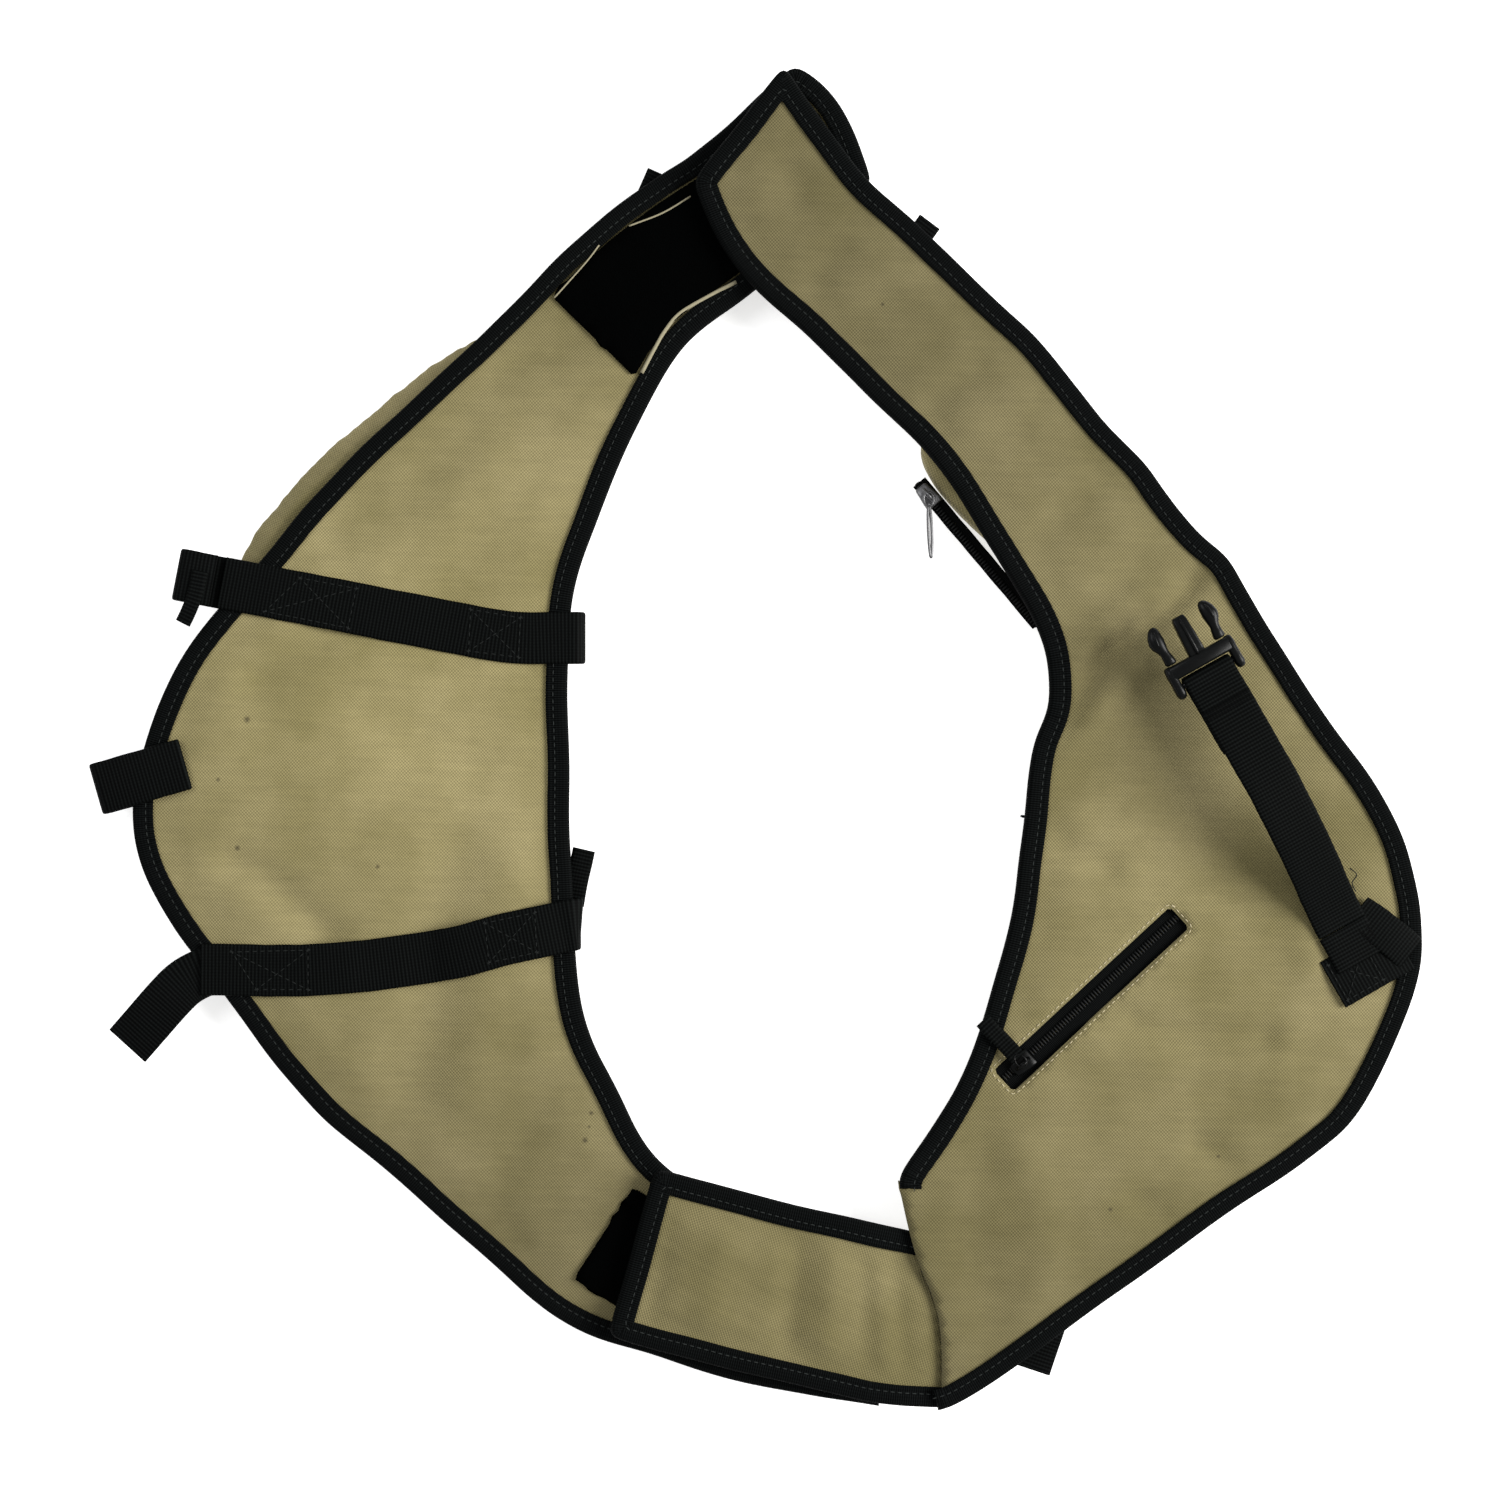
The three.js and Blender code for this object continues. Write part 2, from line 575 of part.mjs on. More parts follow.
const lowerStrapPath = [at(-268, -112.5), at(-210, -112.5), at(-153, -106), at(-121, -98), at(-83, -91)];
const lowerStrapEnd = lowerStrapPath.at(-1);
const lowerCrossStrap = slab(ribbon(lowerStrapPath, WEBBING_WIDTH), strapLevel, WEBBING_THICKNESS);
const lowerWrap = edgeWrap(
  lowerStrapEnd.x - 17, lowerStrapEnd.x - 1, lowerStrapEnd.y - 10, lowerStrapEnd.y + 10,
);
piece('lower_cross_strap', lowerCrossStrap.add(lowerWrap), 'webbing');

const innerEdgeTab = [at(-89, -26), at(-104, -28), at(-104, -78), at(-85, -78), at(-78, -58)];
piece('inner_edge_tab', slab(innerEdgeTab, underLevel, WEBBING_THICKNESS), 'webbing');
const upperArmTab = [at(-41, 271), at(-56, 271), at(-60, 258), at(-44, 250)];
piece('upper_arm_tab', slab(upperArmTab, underLevel, WEBBING_THICKNESS), 'webbing');

// The upper strap's tail, rolled back on itself outside the panel's edge.
const rollLength = 20;
const rollHeight = 9;
const upperTailStart = upperStrapPath[0];
const upperTail = placedGroup(
  upperTailStart.x, upperTailStart.y, strapLevel, Math.atan2(-16 * alongScale, 83.5 * acrossScale),
);
function stadium(x0, x1, z0, z1) {
  const radius = (z1 - z0) / 2;
  const shape = new THREE.Shape();
  shape.absarc(x0 + radius, z0 + radius, radius, Math.PI / 2, 1.5 * Math.PI);
  shape.absarc(x1 - radius, z0 + radius, radius, -Math.PI / 2, Math.PI / 2);
  return shape;
}
const roll = stadium(-rollLength - CLEARANCE, -CLEARANCE, 0, rollHeight);
roll.holes.push(stadium(
  -rollLength - CLEARANCE + WEBBING_THICKNESS, -CLEARANCE - WEBBING_THICKNESS, WEBBING_THICKNESS,
  rollHeight - WEBBING_THICKNESS,
));
piece('upper_strap_tail', sideProfile(roll, WEBBING_WIDTH), 'webbing', upperTail);

const tailRoot = lowerStrapPath[0].x - CLEARANCE;
const lowerTail = [
  new THREE.Vector2(tailRoot, at(0, -101).y), at(-283, -110), at(-281, -115), at(-311, -140), at(-296, -158),
  new THREE.Vector2(tailRoot, at(0, -134).y),
];
piece('lower_strap_tail', slab(lowerTail, strapLevel, WEBBING_THICKNESS), 'webbing');

// ---- buckle: both halves have their pivot bar along Y, at the origin of their own frame ----
const eyeRadius = BUCKLE_BAR_RADIUS + CLEARANCE;
const eyeOutside = eyeRadius + WEBBING_THICKNESS;
const armInner = WEBBING_WIDTH / 2 + CLEARANCE + 0.5;

function webbingEye() {
  const ring = rod(eyeOutside, WEBBING_WIDTH, 'y', [0, 0, 0], 16);
  return ring.subtract(rod(eyeRadius, WEBBING_WIDTH + 2, 'y', [0, 0, 0], 16));
}

function buckleFrame(front, depth) {
  const half = BUCKLE_THICKNESS / 2;
  const outside = Math.max(BUCKLE_WIDTH / 2, armInner + BUCKLE_ARM);
  const beamStart = eyeOutside + CLEARANCE + 0.8;
  const arm = (y0, y1) => block(-6, beamStart + 1, y0, y1, -half, half);
  const bar = rod(BUCKLE_BAR_RADIUS, 2 * armInner + 2, 'y', [0, 0, 0], 12);
  const beam = block(beamStart, front, -outside, outside, -depth / 2, depth / 2);
  return arm(-outside, -armInner).add(arm(armInner, outside)).add(bar).add(beam);
}

const beamFront = 11;
function buckleBody() {
  const half = BUCKLE_TONGUE_WIDTH / 2;
  const tip = beamFront + BUCKLE_TONGUE_LENGTH;
  const outline = [
    new THREE.Vector2(beamFront - 1, -half), new THREE.Vector2(tip - 3, -half * 0.8),
    new THREE.Vector2(tip, -half * 0.5), new THREE.Vector2(tip, half * 0.5),
    new THREE.Vector2(tip - 3, half * 0.8), new THREE.Vector2(beamFront - 1, half),
  ];
  return buckleFrame(beamFront, BUCKLE_THICKNESS).add(slab(outline, -1.8, 3.6));
}

const prongRoot = 2;
const prongOffset = BUCKLE_WIDTH / 2 - 5;
const prongPivot = beamFront + CLEARANCE + prongRoot;
// A prong in its own frame, its pivot at the origin, bulging towards +Y.
function prong() {
  const shape = new THREE.Shape();
  shape.absarc(0, 0, prongRoot, Math.PI / 2, 1.5 * Math.PI);
  shape.splineThru([
    new THREE.Vector2(PRONG_LENGTH * 0.5, -1.2), new THREE.Vector2(PRONG_LENGTH - 3, 0),
    new THREE.Vector2(PRONG_LENGTH, 3), new THREE.Vector2(PRONG_LENGTH - 3, 5.6),
    new THREE.Vector2(PRONG_LENGTH * 0.5, 5.2), new THREE.Vector2(PRONG_LENGTH * 0.25, 2.4),
    new THREE.Vector2(0, prongRoot),
  ]);
  const settings = { depth: PRONG_THICKNESS, bevelEnabled: false, curveSegments: 3 };
  return solid(new THREE.ExtrudeGeometry(shape, settings).translate(0, 0, -PRONG_THICKNESS / 2));
}

const socketDepth = BUCKLE_THICKNESS + 2 * SOCKET_WALL;
function buckleSocket() {
  const depth = socketDepth;
  const half = BUCKLE_WIDTH / 2;
  const frame = buckleFrame(beamFront, depth);
  const shell = block(beamFront - 1, SOCKET_LENGTH, -half, half, -depth / 2, depth / 2);
  const inside = half - SOCKET_WALL;
  const ceiling = depth / 2 - SOCKET_WALL;
  const mouth = block(beamFront + 2, SOCKET_LENGTH + 1, -inside, inside, -ceiling, ceiling);
  const catches = block(CATCH_START, CATCH_END, -half - 1, half + 1, -ceiling, ceiling);
  return frame.add(shell.subtract(mouth).subtract(catches));
}

// Webbing loop over the back panel's left edge, folded under to carry the buckle's socket.
const loopAngle = degrees(16);
const loopOuter = at(-318.5, -26);
const edgeLoop = placedGroup(loopOuter.x, loopOuter.y, 0, loopAngle);
const loopTopLength = 44;
const loopReturn = 56;
const socketHeight = BACK_POCKET_DEPTH - socketDepth / 2;
const webbingBlock = (x0, x1, z0, z1) => block(x0, x1, -WEBBING_WIDTH / 2, WEBBING_WIDTH / 2, z0, z1);
const strapTop = strapLevel + WEBBING_THICKNESS;
const underTop = underLevel + WEBBING_THICKNESS;
const loopTop = webbingBlock(0, loopTopLength, strapLevel, strapTop);
const loopSide = webbingBlock(0, WEBBING_THICKNESS, underLevel, strapTop);
const loopUnder = webbingBlock(0, loopReturn - eyeRadius, underLevel, underTop);
const loopDrop = webbingBlock(loopReturn - eyeOutside, loopReturn - eyeRadius, socketHeight, underTop);
const loopEye = webbingEye().translate([loopReturn, 0, socketHeight]).add(loopDrop);
const eyeRoom = rod(eyeRadius, WEBBING_WIDTH + 2, 'y', [loopReturn, 0, socketHeight], 16);
piece('edge_loop', loopTop.add(loopSide).add(loopUnder).add(loopEye).subtract(eyeRoom), 'webbing', edgeLoop);
const socket = placedGroup(loopReturn, 0, socketHeight, 0, edgeLoop);
piece('buckle_socket', buckleSocket(), 'plastic', socket);

// ---- buckle strap on the front panel ----
const buckleAngle = Math.atan2(124, -69);
const patchLevel = upperLayers.top + CLEARANCE;
const patchTop = patchLevel + WEBBING_THICKNESS;
const buckleStrapRoot = at(280, -91);
const bucklePatch = [[-12, -17], [4, -40], [33, -21], [27, 5], [12, 8]].map(
  ([x, y]) => buckleStrapRoot.clone().add(new THREE.Vector2(x, y)),
);
piece('buckle_patch', slab(bucklePatch, patchLevel, WEBBING_THICKNESS), 'webbing');

const buckleStrap = placedGroup(buckleStrapRoot.x, buckleStrapRoot.y, patchTop + CLEARANCE, buckleAngle);
const riseLine = new THREE.SplineCurve([
  new THREE.Vector2(0, 0), new THREE.Vector2(BUCKLE_STRAP_LENGTH * 0.15, BUCKLE_STRAP_RISE * 0.3),
  new THREE.Vector2(BUCKLE_STRAP_LENGTH * 0.45, BUCKLE_STRAP_RISE * 0.92),
  new THREE.Vector2(BUCKLE_STRAP_LENGTH * 0.75, BUCKLE_STRAP_RISE * 1.02),
  new THREE.Vector2(BUCKLE_STRAP_LENGTH, BUCKLE_STRAP_RISE * 0.8),
]).getSpacedPoints(14);
const doubledFrom = BUCKLE_STRAP_LENGTH - DOUBLED_LENGTH;
const lowerFace = riseLine.filter((point) => point.x < doubledFrom);
const doubled = riseLine.filter((point) => point.x >= doubledFrom);
const topFace = shifted(riseLine, WEBBING_THICKNESS);
const strapShape = new THREE.Shape([
  ...lowerFace, ...shifted(doubled, -WEBBING_THICKNESS), ...topFace.toReversed(),
]);
const barHeight = riseLine.at(-1).y + WEBBING_THICKNESS - eyeOutside;
const barPlace = [BUCKLE_STRAP_LENGTH, 0, barHeight];
const strapBand = sideProfile(strapShape, WEBBING_WIDTH).add(webbingEye().translate(barPlace));
const barRoom = rod(eyeRadius, WEBBING_WIDTH + 2, 'y', barPlace, 16);
piece('buckle_webbing', strapBand.subtract(barRoom), 'webbing', buckleStrap);

const buckle = placedGroup(BUCKLE_STRAP_LENGTH, 0, barHeight, 0, buckleStrap);
piece('buckle_body', buckleBody(), 'plastic', buckle);
const prongLeft = placedGroup(prongPivot, prongOffset, 0, 0, buckle);
piece('buckle_prong_left', prong(), 'plastic', prongLeft);
const prongRight = placedGroup(prongPivot, -prongOffset, 0, 0, buckle);
piece('buckle_prong_right', prong().mirror([0, 1, 0]), 'plastic', prongRight);

// ---- webbing ends that show under the front panel and the strap ----
const lowLevel = upperLayers.bindingBase - CLEARANCE - WEBBING_THICKNESS;
const frontTab = [at(140, -307), at(152, -283), at(140, -272), at(122, -287), at(127, -303)];
piece('front_lower_tab', slab(frontTab, lowLevel, WEBBING_THICKNESS), 'webbing');
const strapTab = [at(85, 247), at(74, 246), at(70, 228), at(84, 238)];
piece('strap_outer_tab', slab(strapTab, lowLevel, WEBBING_THICKNESS), 'webbing');

// ---- zips on the inner walls of the front and back pockets ----
const wallUp = new THREE.Vector2(backPocketEdge, at(0, -70).y);
const backZipEnd = wallUp.clone().setY(wallUp.y + POCKET_ZIP_LENGTH);
wallZip('back', wallUp, backZipEnd, BACK_POCKET_DEPTH / 2, WALL_TAPE_WIDTH);
wallZip('pocket', frontPocketWall[0], frontPocketWall[1], upperPocketDepth / 2, WALL_TAPE_WIDTH);

// ---- the origin: middle of the footprint, on the floor ----
vest.updateMatrixWorld(true);
const bounds = new THREE.Box3().setFromObject(vest, true);
const middle = bounds.getCenter(new THREE.Vector3());
vest.position.set(-middle.x, -middle.y, -bounds.min.z);

export default vest;
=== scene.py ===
import math

import bmesh
import bpy
import numpy as np
from mathutils import Matrix, Vector, noise
from mathutils.geometry import delaunay_2d_cdt


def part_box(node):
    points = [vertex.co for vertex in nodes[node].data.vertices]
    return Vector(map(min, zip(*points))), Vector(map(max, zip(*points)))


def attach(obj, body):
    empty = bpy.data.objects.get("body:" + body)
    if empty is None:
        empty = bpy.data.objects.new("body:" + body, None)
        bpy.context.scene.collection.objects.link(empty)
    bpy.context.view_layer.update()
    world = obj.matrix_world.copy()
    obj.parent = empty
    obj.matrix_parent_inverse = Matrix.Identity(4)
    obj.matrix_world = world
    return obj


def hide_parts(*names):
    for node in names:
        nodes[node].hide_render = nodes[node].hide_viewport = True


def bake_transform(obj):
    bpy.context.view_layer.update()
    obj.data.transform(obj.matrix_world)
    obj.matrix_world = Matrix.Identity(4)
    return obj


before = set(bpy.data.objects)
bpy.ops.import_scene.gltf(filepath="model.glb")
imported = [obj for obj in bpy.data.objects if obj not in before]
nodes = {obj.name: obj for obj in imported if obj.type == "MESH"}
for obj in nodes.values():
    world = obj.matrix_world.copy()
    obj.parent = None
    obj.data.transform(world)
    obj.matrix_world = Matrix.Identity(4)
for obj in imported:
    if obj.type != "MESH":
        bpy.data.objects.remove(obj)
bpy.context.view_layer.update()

# Lengths below are in millimetres, in the part's frame: +Y to the shoulder, +X to the front panel.
# A place on the pattern is moved by PATTERN_SHIFT into that frame.
MM = 0.001
PATTERN_SHIFT = np.array([1.01, -0.5])
TAPE_WIDTH = 10.5
TAPE_THICKNESS = 0.9
WEBBING_WIDTH = 25.0
WEBBING_THICKNESS = 1.5
RIB_PITCH = 1.75
GRID = 4.0
EDGE_STEP = 3.0
CORNER_TURN = math.radians(25)
CLOTH_THICKNESS = 0.9
EDGE_PAD = 1.75         # half a panel's padding at its tape
MIDDLE_PAD = 1.9        # what its middle has on top of that
FOLD_STRENGTH = 1.9     # the folds' depths below are multiplied by this
SHELL_FOLLOWS = 0.35    # the share of the lining's folds that the outer cloth repeats
TAPE_HALF_HEIGHT = 3.05
TAPE_EDGE_RADIUS = 2.6
STITCH_LIFT = 0.12


def at(x, y):
    return np.array([x, y], float) + PATTERN_SHIFT


def places(*pairs):
    return np.array([at(x, y) for x, y in pairs])


# ---- materials ----
class Shader:
    """A material's node tree, with short calls for its nodes."""

    def __init__(self, name, roughness=0.8, **constants):
        self.material = bpy.data.materials.new(name)
        self.material.use_nodes = True
        self.tree = self.material.node_tree
        self.surface = self.tree.nodes["Principled BSDF"]
        self.surface.inputs["Roughness"].default_value = roughness
        for socket, value in constants.items():
            self.surface.inputs[socket.replace("_", " ")].default_value = value

    def node(self, kind, **settings):
        made = self.tree.nodes.new(kind)
        for key, value in settings.items():
            setattr(made, key, value)
        return made

    def link(self, source, target):
        self.tree.links.new(source, target)

    def fill(self, node, values):
        for key, value in values.items():
            if hasattr(value, "is_output"):
                self.link(value, node.inputs[key])
            else:
                node.inputs[key].default_value = value

    def math(self, operation, a, b=0.0, clamp=False):
        made = self.node("ShaderNodeMath", operation=operation, use_clamp=clamp)
        self.fill(made, {0: a, 1: b})
        return made.outputs[0]

    def coordinates(self, follow_surface):
        texture = self.node("ShaderNodeTexCoord")
        return texture.outputs["UV" if follow_surface else "Object"]

    def turned(self, vector, scale, angle=0.0):
        mapping = self.node("ShaderNodeMapping")
        self.fill(mapping, {"Vector": vector, "Scale": scale, "Rotation": (0, 0, angle)})
        return mapping.outputs["Vector"]

    def noise(self, vector, scale, detail=2.0, roughness=0.5):
        made = self.node("ShaderNodeTexNoise")
        self.fill(made, {"Vector": vector, "Scale": scale, "Detail": detail, "Roughness": roughness})
        return made.outputs["Fac"]

    def waves(self, vector, axis, pitch, distortion=0.0):
        """Ribs across one axis, `pitch` apart in the vector's own units, from 0 to 1."""
        made = self.node("ShaderNodeTexWave", bands_direction=axis, wave_profile="SIN")
        self.fill(made, {
            "Vector": vector, "Scale": math.pi / (10 * pitch), "Distortion": distortion,
            "Detail": 1.0, "Detail Scale": 0.4,
        })
        return made.outputs["Fac"]

    def distance(self, vector, place):
        made = self.node("ShaderNodeVectorMath", operation="DISTANCE")
        self.fill(made, {0: vector, 1: (*place, 0.0)})
        return made.outputs["Value"]

    def ramp(self, value, low, high, low_at=0.0, high_at=1.0):
        made = self.node("ShaderNodeMapRange")
        self.fill(made, {
            "Value": value, "From Min": low_at, "From Max": high_at, "To Min": low, "To Max": high,
        })
        return made.outputs["Result"]

    def mix(self, factor, a, b):
        made = self.node("ShaderNodeMix", data_type="RGBA")
        self.fill(made, {0: factor, 6: a, 7: b})
        return made.outputs[2]

    def bump(self, height, distance, strength=1.0):
        made = self.node("ShaderNodeBump")
        self.fill(made, {"Height": height, "Distance": distance, "Strength": strength})
        self.link(made.outputs["Normal"], self.surface.inputs["Normal"])

    def colour(self, socket):
        self.link(socket, self.surface.inputs["Base Color"])

    def rough(self, socket):
        self.link(socket, self.surface.inputs["Roughness"])


SPREAD_PER_MM = 0.01   # a cloth piece's UV map holds its flat place, in units of 100 mm


def khaki_cloth(name, follow_surface, weave_angle=0.0, tone=1.0, brightest=None, marks=(), variation=(1.14, 0.76)):
    """Plain-woven polyester, a little soiled, brighter round one place and darker away from it, and marked at
    others.
    """
    s = Shader(name, 0.9, Sheen_Weight=0.08, Sheen_Roughness=0.5, Specular_IOR_Level=0.2)
    per_mm = SPREAD_PER_MM if follow_surface else MM
    vector = s.turned(s.coordinates(follow_surface), (1, 1, 1), weave_angle)
    thread = 1.55 * per_mm
    warp = s.waves(vector, "X", thread, 0.9)
    weft = s.waves(vector, "Y", thread * 1.04, 0.9)
    over = s.math("MULTIPLY", warp, weft)
    under = s.math("MULTIPLY", s.math("SUBTRACT", 1.0, warp), s.math("SUBTRACT", 1.0, weft))
    weave = s.math("ADD", over, under)
    slub = s.noise(s.turned(vector, (1, 9, 1)), 0.035 / per_mm, 3.0)
    stains = s.noise(vector, 0.011 / per_mm, 4.0, 0.6)
    grime = s.noise(vector, 0.16 / per_mm, 3.0, 0.7)
    shade = s.math("MULTIPLY", s.ramp(weave, 0.66, 1.24), s.ramp(slub, 0.88, 1.10))
    shade = s.math("MULTIPLY", shade, s.ramp(grime, 0.95, 1.05))
    plain = s.coordinates(follow_surface)
    # the cloth is made brighter near the given place and darker the farther it lies from it
    if brightest:
        painted_rib_light_and_tone = s.distance(plain, brightest)
        shade = s.math("MULTIPLY", shade, s.ramp(painted_rib_light_and_tone, *variation, 0.2, 2.7))
    light = (0.249 * tone, 0.212 * tone, 0.101 * tone, 1)
    soiled = (0.174 * tone, 0.149 * tone, 0.062 * tone, 1)
    base = s.mix(s.ramp(stains, 0, 1, 0.36, 0.64), light, soiled)
    ragged = s.math("MULTIPLY", s.noise(vector, 1.1 / per_mm, 2.0), 0.012)
    for place, reach in marks:
        far = s.math("ADD", s.distance(plain, place), ragged)
        base = s.mix(s.ramp(far, 0.75, 0.0, 0.4 * reach, reach), base, (0.045, 0.036, 0.019, 1))
    shaded = s.node("ShaderNodeVectorMath", operation="SCALE")
    s.fill(shaded, {"Vector": base, "Scale": shade})
    s.colour(shaded.outputs["Vector"])
    s.rough(s.ramp(weave, 0.98, 0.86))
    s.bump(s.math("ADD", weave, s.math("MULTIPLY", slub, 0.5)), 0.00028, 0.9)
    return s.material


def ribbed_black(name, rib_along, ribs_across, base, rough, sheen, pitch):
    """Black tape or webbing: ribs across its length, from a UV map of millimetres along and across; the rib
    tops are painted paler and the hollows darker, as painted highlight and shade.
    """
    s = Shader(name, rough, Sheen_Weight=sheen, Sheen_Roughness=0.35, Specular_IOR_Level=0.03)
    vector = s.coordinates(True)
    along = s.waves(vector, "X", pitch * SPREAD_PER_MM, 0.25)
    across = s.waves(vector, "Y", ribs_across * SPREAD_PER_MM, 0.1)
    weave = s.math("ADD", s.math("MULTIPLY", along, rib_along), s.math("MULTIPLY", across, 1 - rib_along))
    lint = s.noise(vector, 0.9 / SPREAD_PER_MM, 2.0)
    variation = s.noise(vector, 0.03 / SPREAD_PER_MM, 3.0)
    # painted highlight and shade: the dark and pale colours below are mixed rib by rib, paler on the rib tops
    # and darker in the hollows
    dark = tuple(0.3 * c for c in base) + (1,)
    pale = tuple(3.0 * c for c in base) + (1,)
    painted_rib_light_and_tone = s.mix(s.ramp(weave, 0.0, 0.8, 0.3, 1.0), dark, pale)
    dusty = tuple(3.2 * c + 0.004 for c in base) + (1,)
    s.colour(s.mix(s.ramp(lint, 0.0, 0.6, 0.66, 0.82), painted_rib_light_and_tone, dusty))
    s.rough(s.ramp(variation, rough - 0.1, rough + 0.12))
    s.bump(s.math("ADD", weave, s.math("MULTIPLY", lint, 0.4)), 0.0003, 0.8)
    return s.material


def pile_black():
    """The soft face of hook-and-loop: a deep black matt of loops."""
    s = Shader("black_pile", 1.0, Specular_IOR_Level=0.01)
    vector = s.coordinates(False)
    loops = s.noise(vector, 1400.0, 3.0, 0.7)
    tufts = s.noise(vector, 260.0, 2.0)
    s.colour(s.mix(loops, (0.0002, 0.0002, 0.0002, 1), (0.0008, 0.0010, 0.0010, 1)))
    s.rough(s.ramp(tufts, 0.92, 1.0))
    s.bump(s.math("ADD", loops, tufts), 0.0008, 1.0)
    return s.material


def moulded_black():
    """Glossy acetal, with the faint ripple of a mould and a little scuffing."""
    s = Shader("moulded_black", 0.32, Specular_IOR_Level=0.11)
    vector = s.coordinates(False)
    ripple = s.noise(vector, 90.0, 2.0)
    scuffs = s.noise(s.turned(vector, (1, 6, 1)), 420.0, 4.0, 0.7)
    s.colour(s.mix(s.ramp(scuffs, 0, 1, 0.6, 0.8), (0.0020, 0.0023, 0.0023, 1), (0.007, 0.0075, 0.0075, 1)))
    s.rough(s.math("ADD", s.ramp(ripple, 0.24, 0.34), s.ramp(scuffs, 0, 0.25, 0.55, 0.85)))
    s.bump(s.math("ADD", ripple, s.math("MULTIPLY", scuffs, 0.3)), 0.0001, 0.5)
    return s.material


def coil_black():
    """Nylon coil: matt, each turn a little rubbed on top."""
    s = Shader("black_coil", 0.55, Specular_IOR_Level=0.12)
    painted_rib_light_and_tone = s.noise(s.coordinates(False), 900.0, 2.0)
    s.colour(s.mix(painted_rib_light_and_tone, (0.0035, 0.004, 0.004, 1), (0.012, 0.0125, 0.0125, 1)))
    s.rough(s.ramp(painted_rib_light_and_tone, 0.45, 0.7))
    s.bump(painted_rib_light_and_tone, 0.0001, 0.5)
    return s.material


def nickel():
    s = Shader("dull_nickel", 0.35, Metallic=1.0)
    vector = s.coordinates(False)
    scratches = s.noise(s.turned(vector, (1, 14, 1)), 600.0, 3.0, 0.7)
    tarnish = s.noise(vector, 180.0, 3.0)
    s.colour(s.mix(tarnish, (0.17, 0.17, 0.175, 1), (0.07, 0.07, 0.07, 1)))
    s.rough(s.ramp(scratches, 0.28, 0.55))
    s.bump(scratches, 0.00005, 0.5)
    return s.material


def thread(name, colour):
    """Spun sewing thread: fine twist lines along it."""
    s = Shader(name, 0.75, Sheen_Weight=0.02, Specular_IOR_Level=0.1)
    twist = s.noise(s.coordinates(False), 2600.0, 1.0)
    pale = tuple(1.35 * c for c in colour) + (1,)
    dark = tuple(0.6 * c for c in colour) + (1,)
    s.colour(s.mix(twist, dark, pale))
    s.bump(twist, 0.0001, 0.6)
    return s.material


def foam_grey():
    s = Shader("grey_foam", 0.95, Specular_IOR_Level=0.1)
    cells = s.noise(s.coordinates(False), 1500.0, 2.0)
    s.colour(s.mix(cells, (0.03, 0.03, 0.028, 1), (0.09, 0.09, 0.085, 1)))
    s.bump(cells, 0.0003, 0.7)
    return s.material


# each speck's place in units of 100 mm, and how far it reaches
BACK_MARKS = [
    ((-2.44, 0.075), 0.026), ((-2.58, -0.215), 0.02), ((-2.49, -0.545), 0.024), ((-1.81, -0.635), 0.02),
    ((-0.78, -1.825), 0.02), ((-0.81, -1.955), 0.024), ((-0.79, -1.89), 0.016)]
FRONT_MARKS = [((0.62, 2.06), 0.018), ((2.23, -2.02), 0.018), ((1.71, -2.27), 0.02)]
PANEL_GRAIN = math.radians(2)
BACK_CLOTH = khaki_cloth("khaki_back_cloth", True, PANEL_GRAIN, 1.0, (-1.75, 0.2), BACK_MARKS, (1.2, 0.66))
FRONT_CLOTH = khaki_cloth("khaki_front_cloth", True, PANEL_GRAIN, 0.8, (1.95, -0.75), FRONT_MARKS)
BELT_CLOTH = khaki_cloth("khaki_belt_cloth", True, math.radians(27), 0.78)
POCKET_CLOTH = khaki_cloth("khaki_pocket_cloth", False, math.radians(24), 0.94)
TAPE = ribbed_black("black_edge_tape", 0.75, 1.6, (0.0019, 0.0023, 0.0023), 0.8, 0.0, 1.1)
WEBBING = ribbed_black("black_webbing", 0.8, 1.5, (0.0018, 0.0022, 0.0021), 0.62, 0.0, RIB_PITCH)
ZIP_TAPE = ribbed_black("black_zip_tape", 0.5, 0.8, (0.0020, 0.0023, 0.0023), 0.75, 0.0, 0.8)
PILE = pile_black()
MOULDED = moulded_black()
COIL = coil_black()
NICKEL = nickel()
GREY_THREAD = thread("grey_thread", (0.020, 0.023, 0.022))
DARK_THREAD = thread("dark_thread", (0.009, 0.0105, 0.010))
PALE_EDGE = thread("pale_cloth_edge", (0.26, 0.235, 0.155))
TAN_THREAD = thread("tan_thread", (0.40, 0.35, 0.22))
FOAM = foam_grey()


# ---- meshes ----
def piece_from(name, points, faces, material, body=None, uv=None, smooth=True):
    """A mesh object from points in millimetres. `uv` gives a flat place for each point."""
    mesh = bpy.data.meshes.new(name)
    mesh.from_pydata((np.asarray(points, float) * MM).tolist(), [], [list(map(int, f)) for f in faces])
    if uv is not None:
        layer = mesh.uv_layers.new(name="cloth")
        corners = np.zeros(len(mesh.loops), np.int32)
        mesh.loops.foreach_get("vertex_index", corners)
        flat = np.asarray(uv, float)[corners] * SPREAD_PER_MM
        layer.data.foreach_set("uv", flat.astype(np.float32).ravel())
    mesh.polygons.foreach_set("use_smooth", [smooth] * len(mesh.polygons))
    mesh.update()
    made = bpy.data.objects.new(name, mesh)
    bpy.context.scene.collection.objects.link(made)
    mesh.materials.append(material)
    if body:
        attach(made, body)
    return made


